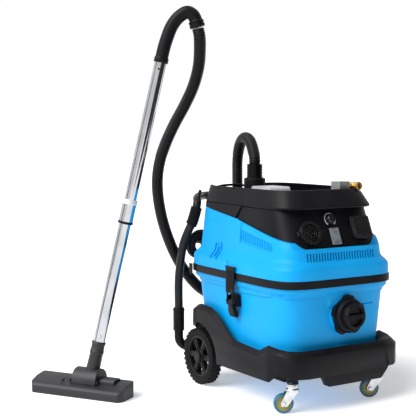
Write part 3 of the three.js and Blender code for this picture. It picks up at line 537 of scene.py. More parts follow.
# ---------------------------------------------------------------- casters
# Swivel casters of pressed and zinc-plated steel, each with a 60 mm wheel: an olive polypropylene
# core with a blue rubber tyre moulded on, turning on a bolt through the fork.
CASTER_RADIUS = 30
CASTER_X, CASTER_Y = 165, -250
CASTER_BOLT = Vector((-0.4472, -0.8944, 0))
caster_tyre = moulded(
    "caster_tyre", (0.010, 0.085, 0.165), (0.016, 0.125, 0.22), 0.35, 0.5, 300, 0.00006, 0.5,
)
caster_core = moulded("caster_core", (0.20, 0.19, 0.045), (0.27, 0.255, 0.07), 0.4, 0.55, 400, 0.00006, 0.4)
navy_plastic = moulded(
    "navy_plastic", (0.004, 0.011, 0.05), (0.006, 0.017, 0.075), 0.35, 0.5, 400, 0.00005, 0.5,
)
for side_name, side in (("left", -1), ("right", 1)):
    finished(
        copied(f"fork_{side_name}", f"caster_fork_{side_name}"), zinc_plate, "zinc_steel",
        f"caster_{side_name}_swivel_body", f"caster_fork_{side_name}", edge=0.5,
    )
    low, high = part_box(f"caster_wheel_{side_name}")
    hub = ((low + high) / 2 - Vector((middle.x, middle.y, 0))) * 1000
    tyre = turned(
        [
            (22.5, -8.6), (25.5, -9.8), (28, -8.8), (29.6, -5), (CASTER_RADIUS, 0), (29.6, 5), (28, 8.8),
            (25.5, 9.8), (22.5, 8.6), (22.5, -8.6),
        ],
        hub, CASTER_BOLT, 64,
    )
    finished(
        shaped(f"caster_tyre_{side_name}", tyre), caster_tyre, "caster_tyre",
        f"caster_{side_name}_wheel_body", f"caster_wheel_{side_name}", angle=50,
    )
    core = turned(
        [
            (4.5, -9.6), (9, -9.6), (10, -7), (18, -6.4), (20, -8.4), (22.3, -8.5), (22.3, 8.5), (20, 8.4),
            (18, 6.4), (10, 7), (9, 9.6), (4.5, 9.6), (4.5, -9.6),
        ],
        hub, CASTER_BOLT, 48,
    )
    finished(
        shaped(f"caster_core_{side_name}", core), caster_core, "caster_tyre",
        f"caster_{side_name}_wheel_body", edge=0.3,
    )
    for end in (-1, 1):
        nut = turned([(0, 15.4), (6.4, 15.4), (6.4, 19), (5.2, 20.2), (0, 20.2)], hub, CASTER_BOLT * end, 6)
        finished(
            shaped(f"caster_nut_{side_name}_{'out' if end < 0 else 'in'}", nut), zinc_plate, "zinc_steel",
            f"caster_{side_name}_swivel_body", edge=0.4, angle=25,
        )
    ring = turned(
        [(13.4, 87), (17.6, 87), (18.4, 90), (16.5, 95), (13.4, 95), (13.4, 87)],
        (side * CASTER_X, CASTER_Y, 0), (0, 0, 1), 48,
    )
    finished(
        shaped(f"caster_seal_{side_name}", ring), navy_plastic, "black_plastic",
        f"caster_{side_name}_swivel_body", edge=0.4,
    )

# ---------------------------------------------------------------- tank
# The dust tank, one deep moulding in sky blue polypropylene. A raised band runs round under the
# rim and steps down past the latches and beside the inlet.
TANK_RADIUS_POWER = 6
PLAN_POINTS = 264
PROUD = 4.2
BAND_FOOT, BAND_TOP = 337, 352
INLET_X, INLET_Z, INLET_HOLE = 15, 278, 31
INSIDE_HALVES = (250, 266, 278, 280)  # half lengths of the levels that the band leaves alone
STEP_SIDE = (
    (-284, 349), (-202, 349), (-182, 334), (-60, 331), (-35, 330), (4, 327), (22, 327), (60, 337),
    (284, 335),
)
blue_plastic, nodes, links, shader = new_material("blue_plastic")
colour, noise = speckle(nodes, links, 9, (0.0012, 0.300, 0.69), (0.0018, 0.325, 0.73))
links.new(colour, shader.inputs["Base Color"])
varied_roughness(nodes, links, shader, noise, 0.40, 0.52)
_, grain = speckle(nodes, links, 900, (0, 0, 0), (1, 1, 1), 2.0)
relief(nodes, links, shader, grain.outputs["Fac"], 0.00006, 0.3)
shader.inputs["Specular IOR Level"].default_value = 0.18


def plan_point(angle, half_x, half_y):
    """A point on the rounded-square plan of the tank and the head."""
    c, s = math.cos(angle), math.sin(angle)
    power = 2 / TANK_RADIUS_POWER
    return half_x * math.copysign(abs(c) ** power, c), half_y * math.copysign(abs(s) ** power, s)


def plan_angles(half_x, half_y, count):
    """Angles that space points evenly round a rounded-square plan."""
    fine = [2 * math.pi * i / 7200 for i in range(7201)]
    places = [Vector(plan_point(a, half_x, half_y)) for a in fine]
    travelled = [0.0]
    for a, b in zip(places, places[1:]):
        travelled.append(travelled[-1] + (b - a).length)
    angles, k = [], 0
    for n in range(count):
        goal = travelled[-1] * n / count
        while travelled[k + 1] < goal:
            k += 1
        angles.append(
            fine[k] + (fine[k + 1] - fine[k]) * (goal - travelled[k]) / (travelled[k + 1] - travelled[k]),
        )
    return angles


PLAN_ANGLES = plan_angles(205, 275, PLAN_POINTS)


def heights_between(levels, step):
    """Levels [half x, half y, z, centre y] with more put in between at an even step."""
    full = [levels[0]]
    for a, b in zip(levels, levels[1:]):
        pieces = max(1, round(abs(b[2] - a[2]) / step))
        full += [[a[i] + (b[i] - a[i]) * n / pieces for i in range(4)] for n in range(1, pieces + 1)]
    return full


def eased(levels, reach):
    """Levels with each inner corner of their profile rounded off."""
    soft = [levels[0]]
    for a, b, c in zip(levels, levels[1:], levels[2:]):
        before = math.dist(a, b)
        after = math.dist(b, c)
        near = min(reach, before * 0.45), min(reach, after * 0.45)
        start = [b[i] + (a[i] - b[i]) * near[0] / before for i in range(4)]
        end = [b[i] + (c[i] - b[i]) * near[1] / after for i in range(4)]
        for t in (0, 0.25, 0.5, 0.75, 1):
            soft.append([
                start[i] * (1 - t) ** 2 + 2 * b[i] * t * (1 - t) + end[i] * t**2 for i in range(4)
            ])
    return soft + [levels[-1]]


def vessel(levels, ends="closed", push=None):
    """Skin over rounded-square levels; ends closed on the axis, or joined to each other as one ring."""
    verts, faces = [], []
    count = len(PLAN_ANGLES)
    for half_x, half_y, z, centre_y in levels:
        for angle in PLAN_ANGLES:
            x, y = plan_point(angle, half_x, half_y)
            point = Vector((x, y + centre_y, z))
            verts.append(push(point, half_x, half_y) if push else point)
    rows = list(range(len(levels)))
    pairs = list(zip(rows, rows[1:])) + ([(rows[-1], 0)] if ends == "ring" else [])
    for a, b in pairs:
        for k in range(count):
            n = (k + 1) % count
            faces.append((a * count + k, a * count + n, b * count + n, b * count + k))
    if ends == "closed":
        faces.append(tuple(reversed(range(count))))
        faces.append(tuple(range((len(levels) - 1) * count, len(levels) * count)))
    return verts, faces


def along_line(line, where):
    """The height of a stepped line at a place along it."""
    for (a, low), (b, high) in zip(line, line[1:]):
        if where <= b:
            return low + (high - low) * max(0.0, (where - a) / (b - a))
    return line[-1][1]


def tank_push(point, half_x, half_y):
    """Sets the band below the rim proud of the outside wall."""
    if half_x < 185.5 or half_y in INSIDE_HALVES:
        return point
    on_side = abs(point.x) > half_x * 0.9 and abs(point.y) < half_y * 0.93
    if on_side or point.y > 0:
        edge = along_line(STEP_SIDE, point.y)
    elif point.x < INLET_X:
        edge = BAND_FOOT if point.x < -55 else BAND_FOOT - 50 * min(1.0, (point.x + 55) / 12)
    else:
        edge = BAND_FOOT if point.x > 128 else 295
    share = min(1.0, max(0.0, (point.z - edge) / 2.2))
    share *= min(1.0, max(0.0, (BAND_TOP - point.z) / 6))
    lift = PROUD * share * share * (3 - 2 * share)
    flat = Vector((point.x / half_x**2, point.y / half_y**2, 0)).normalized()
    return point + lift * flat


def carved(piece, *parts, how="DIFFERENCE"):
    """Cuts parts out of a piece, or with how=INTERSECT keeps what lies inside them."""
    tool = shaped("cutting_tool", *parts)
    for body in (piece, tool):
        build = bmesh.new()
        build.from_mesh(body.data)
        bmesh.ops.recalc_face_normals(build, faces=build.faces)
        build.to_mesh(body.data)
        build.free()
    cut = piece.modifiers.new("cut", "BOOLEAN")
    cut.operation = how
    cut.solver = "EXACT"
    cut.object = tool
    bpy.context.view_layer.update()
    result = bpy.data.meshes.new_from_object(piece.evaluated_get(bpy.context.evaluated_depsgraph_get()))
    piece.modifiers.clear()
    piece.data = result
    bpy.data.objects.remove(tool)
    return piece


tank_outside = heights_between([[186, 247, 102, -6], [192, 254, 185, -6], [204, 270, 345, -2]], 2)
tank_rim = [[214, 282, 353, 0], [216, 284, 356, 0], [216, 284, 367.6, 0], [212, 280, 367.6, 0]]
tank_inside = [[210, 278, 355, 0], [200, 266, 346, -2], [188, 250, 185, -6], [182, 243, 106, -6]]
tank_foot = [[182, 243, 102, -6], [185, 246, 103.5, -6]]
tank_levels = tank_foot + tank_outside[1:] + tank_rim + tank_inside
tank = shaped("dust_tank", vessel(tank_levels, push=tank_push))
inlet_boss = turned(
    [(INLET_HOLE, 0), (60, 0), (60, 12), (58.5, 14.6), (INLET_HOLE, 14.6), (INLET_HOLE, 0)],
    (INLET_X, -261.4, INLET_Z), (0, -1, 0), 64,
)
inlet_bore = turned(
    [(0, 0), (INLET_HOLE, 0), (INLET_HOLE, 60), (0, 60)], (INLET_X, -230, INLET_Z), (0, -1, 0), 64,
)
carved(tank, inlet_bore)
finished(tank, blue_plastic, "blue_plastic", "chassis", "tank", angle=50)
finished(shaped("inlet_boss", inlet_boss), blue_plastic, "blue_plastic", "chassis", edge=1.0)

# ---------------------------------------------------------------- inlet and its plug
# A black bayonet flange with five lobes is screwed to the tank. Its plug has two finger recesses
# with a grip bar left between them, and three fine ribs on the bar.
FLANGE_STEPS, FLANGE_LOBES = 96, 5
FLANGE_FOOT, FLANGE_FACE, FLANGE_BORE = -276.4, -289.4, 31.2
flange_verts, flange_faces = [], []
for n in range(FLANGE_STEPS):
    angle = 2 * math.pi * n / FLANGE_STEPS
    lobed = 57.2 + 4.4 * math.tanh(2.2 * math.cos(FLANGE_LOBES * (angle - math.pi / 2)))
    for reach, y in (
        (lobed, FLANGE_FOOT), (lobed, FLANGE_FACE), (FLANGE_BORE, FLANGE_FACE), (FLANGE_BORE, FLANGE_FOOT),
    ):
        flange_verts.append(Vector((INLET_X + reach * math.cos(angle), y, INLET_Z + reach * math.sin(angle))))
    following = (n + 1) % FLANGE_STEPS
    for k in range(4):
        corner = (k + 1) % 4
        flange_faces.append((4 * n + k, 4 * n + corner, 4 * following + corner, 4 * following + k))
collar = turned(
    [(31, 10), (52, 10), (52, 18), (50, 22), (45.5, 26), (31, 26), (31, 10)],
    (INLET_X, FLANGE_FOOT, INLET_Z), (0, -1, 0), 72,
)
flange = shaped("bayonet_flange", (flange_verts, flange_faces), collar)
finished(flange, black_plastic, "black_plastic", "chassis", "inlet_flange", edge=1.6, segments=3)
finished(
    copied("bayonet_plug", "inlet_plug"), black_plastic, "black_plastic", "inlet_plug_body", "inlet_plug",
    edge=1.2, segments=3,
)
for n in range(3):
    bar = brick(-9, 39, -321.4, -320.4, 273.4 + 4.2 * n, 274.8 + 4.2 * n)
    finished(shaped(f"plug_bar_{n + 1}", bar), black_plastic, "black_plastic", "inlet_plug_body", edge=0.3)

# ---------------------------------------------------------------- side latches
# Over-centre latches in black nylon: a bracket screwed to the tank, a thumb lever hinged on it,
# and a hook plate on the lever's pin that pulls down on the head's bead.
LATCH_LEAN = 13
LATCH_RIBS = 6
for side_name, side in (("left", -1), ("right", 1)):
    for part, body in (
        ("bracket", "chassis"), ("lever", f"latch_{side_name}_lever_body"),
        ("hook", f"latch_{side_name}_hook_body"),
    ):
        finished(
            copied(f"latch_{part}_cover_{side_name}", f"latch_{part}_{side_name}"), black_plastic,
            "black_plastic", body, f"latch_{part}_{side_name}", edge=0.7,
        )
    ribs = [
        brick(*sorted((side * 229.2, side * 230.2)), -27 + 6.4 * n, -24.6 + 6.4 * n, 342, 398)
        for n in range(LATCH_RIBS)
    ]
    finished(
        shaped(f"latch_ribs_{side_name}", *ribs), black_plastic, "black_plastic",
        f"latch_{side_name}_hook_body", edge=0.3,
    )
    pad = plank([(-21, 262), (-17.5, 256), (-2.5, 256), (1, 262), (1, 284), (-21, 284)], "x", 0, 1.0)
    tilt = Matrix.Rotation(side * math.radians(LATCH_LEAN), 4, "Y")
    lean = Matrix.Translation((side * 228.6, 0, 290)) @ tilt @ Matrix.Translation((0, 0, -290))
    finished(
        shaped(f"latch_thumb_{side_name}", set_down(pad, lean)), black_plastic, "black_plastic",
        f"latch_{side_name}_lever_body", edge=0.3,
    )

# ---------------------------------------------------------------- push handle
# One bent steel tube, painted satin black, that stands in two moulded sleeves on the trolley's back
# corners. A ribbed rubber grip sits on each upright below the bend, with a hook for the wand.
painted_steel = moulded(
    "painted_steel", (0.005, 0.005, 0.006), (0.009, 0.009, 0.010), 0.28, 0.4, 220, 0.00004, 0.25,
)
handle_side = [
    (-231, 300, 235.4), (-231, 300, 329), (-225, 296, 400), (-217, 290, 454), (-205, 280, 495),
    (-194, 272, 525), (-184, 267, 562), (-176, 270, 590), (-158, 300, 603), (-110, 344, 606),
    (-50, 352, 606),
]
handle_path = [Vector(p) for p in handle_side] + [Vector((-x, y, z)) for x, y, z in reversed(handle_side)]
HOOK_POINTS = ((177, 268, 588), (174, 266, 602), (171.5, 264, 618), (169, 262, 632))
GRIP_RIB_PITCH = 7.2


def horn(along):
    """Radius of a wand hook, which tapers to its tip."""
    return 7.4 - along * 0.055


def ribbed_grip(along):
    return 19.6 - 2.2 * (0.5 + 0.5 * math.cos(2 * math.pi * along / GRIP_RIB_PITCH)) ** 3


hooks = [tube([Vector((side * x, y, z)) for x, y, z in HOOK_POINTS], horn, 20) for side in (-1, 1)]
finished(
    shaped("push_tube", tube(smooth_line(handle_path, 6), 14, 28), *hooks), painted_steel, "painted_tube",
    "chassis", "push_handle", edge=0.8, angle=60,
)
for side_name, side in (("left", -1), ("right", 1)):
    sleeve_path = [Vector((side * x, y, z)) for x, y, z in (
        (231, 300, 235), (231, 300, 190), (231, 300, 150), (228, 301, 124), (213, 300, 106), (192, 292, 100),
        (176, 280, 100), (170, 266.4, 100),
    )]
    collar = turned(
        [(0, 0), (18, 0), (19, 1.5), (19, 74), (17.6, 77), (0, 77)], (side * 231, 300, 158), (0, 0, 1), 40,
    )
    rings = turned([(0, 0), (20, 0), (20, 4), (0, 4)], (side * 231, 300, 226), (0, 0, 1), 40)
    finished(
        shaped(f"handle_socket_{side_name}", tube(smooth_line(sleeve_path, 5), 15, 28), collar, rings),
        black_plastic, "black_plastic", "chassis", f"handle_sleeve_{side_name}", edge=0.8, angle=60,
    )
    grip_path = [
        Vector((side * x, y, z))
        for x, y, z in ((198, 275, 515), (194, 272, 525), (184, 267, 562), (181, 266.6, 574))
    ]
    grip_line = smooth_line(grip_path, 1)
    finished(
        shaped(f"hand_grip_{side_name}", tube(grip_line, ribbed_grip, 36)),
        tyre_rubber, "grip_rubber", "chassis", f"handle_grip_{side_name}", edge=0.8, angle=70,
    )

# ---------------------------------------------------------------- rim band
# The black band that closes the joint between tank and head: a moulded ring with a soft seal under
# it, and a small strap clip at the back of each side.
band = [
    [203, 271, 359, 0], [209, 277, 359, 0], [209, 277, 368, 0], [221.5, 289.5, 368, 0], [223, 291, 370, 0],
    [223, 291, 389.6, 0], [221.6, 289.6, 391.6, 0], [203, 271, 391.6, 0],
]
finished(
    shaped("rim_band", vessel(band, "ring")), black_plastic, "black_plastic", "head", "rim_frame", angle=28,
)
for side_name, side in (("left", -1), ("right", 1)):
    clip = plank(
        [(222, 366), (232, 352), (241, 366), (241, 393), (222, 393)], "x",
        *sorted((side * 222.6, side * 226)),
    )
    finished(shaped(f"strap_clip_{side_name}", clip), black_plastic, "black_plastic", "head", edge=0.9)

# ---------------------------------------------------------------- head shell
# The blue cover of the motor head, one moulding: a shoulder, a row of cooling slots across the
# front, shallow louvred panels on the sides, and moulded catch ribs a little behind each latch.
SHELL_OUT = [
    [221, 289, 392, 0], [220, 288, 426, 0], [200, 270, 447, 0], [197, 266, 480, 0], [187, 230, 590, 24],
]
SHELL_IN = [
    [183.6, 227, 590, 24], [189.5, 259.5, 462, 1.5], [195.5, 265, 448, 0], [215.6, 283.6, 424, 0],
    [217, 285, 392, 0],
]
CONSOLE_LEVELS = [[188, 258, 470, 2], [183, 226, 593.4, 24]]
GRILLE_SLOTS, GRILLE_PITCH, GRILLE_HALF_SLOT = 25, 10.4, 2.7
SIDE_SLOTS, SIDE_SLOT_PITCH, SIDE_SLOT_START, SIDE_HALF_SLOT = 21, 9.3, -23, 2.4
SIDE_LEAN = 4.6


def grown(levels, amount):
    return [[a + amount, b + amount, z, cy] for a, b, z, cy in levels]


shell_levels = eased(SHELL_OUT, 9) + SHELL_IN
shell = shaped("head_cover", vessel(shell_levels, "ring"))
foot, top = grown(CONSOLE_LEVELS, 0.4)
opening = [[*foot[:2], foot[2] - 0.4, foot[3]], [*top[:2], 640, 24]]
carved(shell, vessel(opening))
parting = [(-320, 480), (-250, 480), (-236, 498.5), (0, 551), (6, 554), (320, 596), (320, 700), (-320, 700)]
carved(shell, plank(parting, "x", -300, 300))
slot_places = [GRILLE_PITCH * (n - 12) for n in range(GRILLE_SLOTS)]
slots = [brick(x - GRILLE_HALF_SLOT, x + GRILLE_HALF_SLOT, -290, -248, 444, 468) for x in slot_places]
carved(shell, *slots)
for side in (-1, 1):
    recess = [(-15.5, 545.5), (-15.5, 484.5), (-212, 462.5), (-212, 493)]
    deep = sorted((side * 192.2, side * 230))
    tilt = Matrix.Rotation(-side * math.radians(SIDE_LEAN), 4, "Y")
    lean = Matrix.Translation((side * 193, 0, 505)) @ tilt @ Matrix.Translation((-side * 193, 0, -505))
    carved(shell, set_down(plank(recess, "x", *deep), lean))
    louvres = []
    for n in range(SIDE_SLOTS):
        y = SIDE_SLOT_START - SIDE_SLOT_PITCH * n
        share = (SIDE_SLOT_START - y) / 183
        across = sorted((side * 189.8, side * 230))
        louvre = brick(*across, y - SIDE_HALF_SLOT, y + SIDE_HALF_SLOT, 489.5 - 22 * share, 522 - 32 * share)
        louvres.append(set_down(louvre, lean))
    carved(shell, *louvres)
    window = [(112, 546), (112, 494), (172, 491), (172, 539)]
    carved(shell, set_down(plank(window, "x", *deep), lean))
finished(shell, blue_plastic, "blue_plastic", "head", "head_shell", edge=0.9, angle=40)
for side_name, side in (("left", -1), ("right", 1)):
    leg = [
        (side * x, z)
        for x, z in (
            (195, 474), (201.5, 474), (205, 449), (223.6, 430), (223.6, 421), (214, 421), (195, 444),
        )
    ]
    catch = [plank(leg, "y", 82, 86.5), plank(leg, "y", 114, 118.5)]
    catch += [brick(*sorted((side * 195, side * 201.6)), 82, 118.5, 469.5, 474)]
    tongue = [
        (side * x, z)
        for x, z in ((195, 462), (202.4, 462), (207, 449), (222.6, 432), (214, 424), (195, 444))
    ]
    catch += [plank(tongue, "y", 96, 104.5)]
    finished(shaped(f"catch_rib_{side_name}", *catch), blue_plastic, "blue_plastic", "head", edge=1.4)
    bead = brick(*sorted((side * 219.5, side * 223.5)), -29, 9, 396, 403.6)
    latch_rib = brick(*sorted((side * 214, side * 222.4)), 15, 40, 397, 425)
    finished(
        shaped(f"latch_bead_{side_name}", bead, latch_rib), blue_plastic, "blue_plastic", "head", edge=1.6,
    )

# ---------------------------------------------------------------- control console
# The black cover over the motor electronics, a separate moulding that drops into the blue shell,
# with its control panel sloping back at the front.
console_skin = [[184, 254, 470, 2], [188, 258, 470, 2], [183, 226, 593.4, 24], [100, 140, 593.4, 24]]
console_skin += [[100, 140, 589.4, 24], [179, 222, 589.4, 24]]
finished(
    shaped("console_cover", vessel(console_skin, "ring")), black_plastic, "black_plastic", "head",
    "console", edge=1.8, segments=3,
)
PANEL_TILT = math.atan2(54, 123.4)
panel_up = Vector((0, math.sin(PANEL_TILT), math.cos(PANEL_TILT)))
panel_out = Vector((0, -math.cos(PANEL_TILT), math.sin(PANEL_TILT)))


def on_panel(x, z, lift=0.0):
    """Placing with x across, y up and z out of the control panel."""
    origin = Vector((x, -256 + (z - 470) * math.tan(PANEL_TILT), z)) + lift * panel_out
    placing = Matrix((Vector((1, 0, 0)), panel_up, panel_out)).transposed().to_4x4()
    return Matrix.Translation(origin) @ placing


def drum(radius, low, high, lip=0.0, sides=64):
    """A round disc or knob standing on z, with a lip bevelled off its top."""
    return turned(
        [(0, low), (radius, low), (radius, high - lip), (radius - lip, high), (0, high)], (0, 0, 0),
        (0, 0, 1), sides,
    )


def ring_part(outer, inner, low, high, sides=64):
    """A flat ring standing on z."""
    return turned(
        [(inner, low), (outer, low), (outer, high), (inner, high), (inner, low)], (0, 0, 0), (0, 0, 1),
        sides,
    )


gloss_panel = moulded(
    "gloss_panel", (0.005, 0.005, 0.006), (0.008, 0.008, 0.009), 0.18, 0.3, 500, 0.00003, 0.5,
)
port = on_panel(-94, 524)
blower_port = [
    ring_part(37, 27, -1, 12), ring_part(24, 20, 2, 9), ring_part(16, 12.4, 2, 8.4),
    ring_part(8, 5, 2, 7.8), brick(-3, 3, 5, 26.8, 2, 6), brick(-26.8, -5, -3, 3, 2, 6),
    brick(5, 26.8, -3, 3, 2, 6), brick(-3, 3, -26.8, -5, 2, 6), brick(-45, -35, -7, 7, -1, 6),
    brick(35, 45, -7, 7, -1, 6),
]
finished(
    shaped("blower_port", *all_down(blower_port, port)), gloss_panel, "black_plastic", "head", "blow_port",
    edge=0.8,
)
# Painted shade: a near-black disc, darker than the port's own black plastic, that darkens the port's hollow
# to stand in for a depth the port doesn't have.
port_shade = moulded(
    "port_shade", (0.0012, 0.0012, 0.0012), (0.002, 0.002, 0.002), 0.8, 0.9, 300, 0.00004, 0.1,
)
finished(shaped("port_painted_shade", set_down(drum(27.5, -1, 2.4), port)), port_shade, "black_plastic", "head")
dial_turns = [
    drum(13.5, 0.6, 13, 2.4), drum(15, 0.6, 5, 0.8), brick(-1.1, 1.1, 2, 12.6, 12.6, 14.2),
]
for n in range(16):
    turn = Matrix.Rotation(2 * math.pi * n / 16, 4, "Z")
    dial_turns.append(set_down(brick(12.9, 14.1, -1.2, 1.2, 4, 11), turn))
knob = on_panel(-4, 561)
finished(
    shaped("dial_knob", *all_down(dial_turns, knob)), gloss_panel, "black_plastic", "speed_dial_body",
    "speed_dial", edge=0.4,
)
pale_plastic = moulded("pale_plastic", (0.50, 0.49, 0.53), (0.62, 0.61, 0.65), 0.45, 0.6, 350, 0.00008, 0.5)
scale_marks = []
for n in range(15):
    angle = math.radians(222 - 19 * n)
    turn = Matrix.Rotation(angle, 4, "Z")
    scale_marks.append(set_down(brick(18.4 if n % 2 else 17.6, 21, -3.2, 3.2, 0.15, 0.75), turn))
finished(shaped("dial_scale", *all_down(scale_marks, knob)), pale_plastic, "pale_plastic", "head")
switch_grey = moulded("switch_grey", (0.17, 0.18, 0.20), (0.26, 0.27, 0.29), 0.3, 0.45, 400, 0.00006, 0.5)
switch = on_panel(-1, 511)
switch_frame = [
    brick(-17, -11, -26, 26, 0.8, 5), brick(11, 17, -26, 26, 0.8, 5), brick(-11.4, 11.4, 20, 26, 0.8, 5),
    brick(-11.4, 11.4, -26, -20, 0.8, 5),
]
finished(
    shaped("switch_frame", *all_down(switch_frame, switch)), switch_grey, "grey_plastic", "head",
    "switch_bezel", edge=0.9,
)
rocker_side = [(-19, 6.6), (-10, 8.0), (0, 6.4), (10, 7.2), (19, 8.0), (19, 3.4), (-19, 3.4)]
rocker = plank(rocker_side, "x", -10.4, 10.4)
finished(
    shaped("rocker_key", set_down(rocker, switch)), switch_grey, "pale_plastic", "rocker_body", "rocker",
    edge=0.6,
)
marks = [
    brick(-6, 6, 11.6, 13.2, 7.3, 8.2), brick(-5.5, 5.5, -14.4, -13, 7.1, 7.9),
    brick(-0.8, 0.8, 4, 10, 7.0, 7.6),
]
mark_blue = moulded("mark_blue", (0.004, 0.03, 0.20), (0.006, 0.045, 0.26), 0.3, 0.4, 400, 0.00003, 0.5)
finished(shaped("rocker_marks", *all_down(marks, switch)), mark_blue, "pale_plastic", "rocker_body")
outlet = on_panel(98, 531)
socket_box = [
    plank(
        [(-37, -29), (-31, -35), (31, -35), (37, -29), (37, 29), (31, 35), (-31, 35), (-37, 29)], "z", -1,
        2,
    ),
    ring_part(26, 22, 1.6, 7.6), brick(-37, -34.4, -30, 30, 1.6, 8), brick(34.4, 37, -30, 30, 1.6, 8),
    brick(-32, 32, 32.6, 35, 1.6, 8), brick(-32, 32, -35, -32.6, 1.6, 8), drum(4, -0.5, 3),
    set_down(drum(2.6, -0.5, 2.6), Matrix.Translation((9.5, 0, 0))),
]
finished(
    shaped("socket_box", *all_down(socket_box, outlet)), black_plastic, "black_plastic", "head",
    "outlet_body", edge=0.6,
)
lid_outline = [(-37, -28), (-30, -35), (30, -35), (37, -28), (37, 30), (32, 35), (-32, 35), (-37, 30)]
lid_parts = [
    plank(lid_outline, "z", 8.5, 15.6), plank([(x * 0.84, y * 0.84) for x, y in lid_outline], "z", 15, 17.4),
    brick(-13, 13, -35.9, -31, 9, 13.5),
]
finished(
    shaped("socket_lid", *all_down(lid_parts, outlet)), gloss_panel, "black_plastic", "outlet_lid_body",
    "outlet_lid", edge=1.8, segments=3,
)

# ---------------------------------------------------------------- top tray
# A deep black tray clipped over the head, for tools. Its skirt runs down behind the console to the
# parting line of the blue shell; the rim has small notches for bits and a rail at the back.
tray_out = [
    [181, 240, 594, 13], [183.6, 242.6, 596, 13], [185, 244, 600, 13], [165, 229.5, 648, 30],
    [163.6, 228, 650, 30],
]
tray_in = [[159.4, 223.4, 650, 30.6], [158.2, 222.2, 648.4, 30.6], [169, 227, 615, 16.4], [166, 224, 612, 16]]
tray = shaped("tool_tray", vessel(eased(tray_out, 3) + tray_in))
carved(
    tray, brick(-130, 12, 200, 290, 634, 700), brick(108, 158, -230, -128, 641, 700),
    brick(-190, -140, 60, 66, 644, 700), brick(-190, -140, 150, 156, 644, 700),
)
finished(tray, black_plastic, "black_plastic", "head", "top_tray", edge=1.0, angle=40)
skirt_line = [(20, 557), (320, 596.6), (320, 700), (-10, 700), (-10, 596)]
skirt = shaped("tray_skirt", vessel([[197, 266, 480, 0], [187, 230, 590, 24], [187, 230, 596, 24]]))
carved(skirt, plank(skirt_line, "x", -300, 300), how="INTERSECT")
carved(skirt, vessel(opening))
finished(skirt, black_plastic, "black_plastic", "head", edge=1.2)
PAD_X, PAD_Y, PAD_FOOT, PAD_TOP = (-112, -35), (-60, 45), 612.4, 653.6
pad_side = [
    (-60, PAD_FOOT), (45, PAD_FOOT), (45, 644), (42, 650), (36, PAD_TOP), (-51, PAD_TOP), (-57, 650),
    (-60, 644),
]
pad = shaped("exhaust_grid", plank(pad_side, "x", *PAD_X))
holes = []
for i in range(9):
    for j in range(11):
        x, y = PAD_X[0] + 8.5 + 7.5 * i, PAD_Y[0] + 12 + 8 * j
        holes.append(turned([(0, 0), (2.1, 0), (2.1, 12), (0, 12)], (x, y, PAD_TOP - 5), (0, 0, 1), 10))
carved(pad, *holes)
finished(pad, pale_plastic, "pale_plastic", "head", "exhaust_pad", angle=35)
rail_line = smooth_line(
    [
        Vector(p)
        for p in ((-124.5, 236, 640), (-100, 240, 645), (-59, 241, 647), (-18, 240, 645), (6.5, 236, 640))
    ],
    3,
)
finished(
    shaped("back_rail", tube(rail_line, 4, 20)), black_plastic, "black_plastic", "head", "rear_rail",
    angle=60,
)

# ---------------------------------------------------------------- air supply block
# A cast zinc block bolted in the tray's front corner, with a turned brass tee screwed into its side
# and a knurled quick coupler on the tee's branch.
AIR_LINE = (-155, 656)
BRANCH_X = 138
KNURL_TEETH = 28
cast_zinc = metal(
    "cast_zinc", 160, (0.30, 0.31, 0.30), (0.46, 0.47, 0.46), 0.4, 0.62, detail=5, metallic=0.85,
    bumps=(0.0003, 0.4),
)
finished(
    shaped(
        "supply_casting", brick(66, 108, -176, -134, 612.4, 671.6),
        turned([(0, 0), (5, 0), (5, 3.4), (0, 3.4)], (87, -155, 669.6), (0, 0, 1), 6),
    ),
    cast_zinc, "cast_block", "head", "supply_block", edge=2.2, segments=3,
)
turned_brass = metal(
    "turned_brass", 90, (0.62, 0.36, 0.10), (0.80, 0.52, 0.19), 0.16, 0.32, bumps=(0.0001, 0.15),
)
tee_run = turned(
    [
        (0, 0), (9, 0), (9, 2), (11, 3), (11, 12), (9, 13), (9, 20), (11.6, 21), (11.6, 38), (10, 41.6),
        (0, 41.6),
    ],
    (108.4, *AIR_LINE), (1, 0, 0), 48,
)
tee_nut = turned([(0, 0), (12.4, 0), (12.4, 8), (0, 8)], (110, *AIR_LINE), (1, 0, 0), 6)
tee_branch = turned(
    [
        (5.5, 0), (10, 0), (10, 14), (9.2, 15), (10, 16), (9.2, 17), (10, 18), (10, 30), (9, 30.6),
        (5.5, 30.6), (5.5, 0),
    ],
    (BRANCH_X, *AIR_LINE), (0, -1, 0), 48,
)
finished(
    shaped("air_tee", tee_run, tee_nut, tee_branch), turned_brass, "brass", "head", "brass_tee", edge=0.4,
    angle=28,
)
coupler = [
    turned(
        [
            (10.6, 0), (12.6, 0), (13.2, 0.8), (13.2, 3), (12, 3.8), (12, 9.2), (13.2, 10), (13.2, 12.4),
            (12.4, 13), (10.6, 13), (10.6, 0),
        ],
        (BRANCH_X, AIR_LINE[0] - 16, AIR_LINE[1]), (0, -1, 0), 48,
    ),
]
for n in range(KNURL_TEETH):
    turn = Matrix.Translation(
        (BRANCH_X, AIR_LINE[0] - 16, AIR_LINE[1]),
    ) @ Matrix.Rotation(2 * math.pi * n / KNURL_TEETH, 4, "Y")
    coupler.append(set_down(brick(11.8, 13.1, -9.4, -3.6, -0.55, 0.55), turn))
finished(
    shaped("coupler_ring", *coupler), turned_brass, "brass", "brass_coupler_body", "brass_coupler",
    edge=0.2,
)

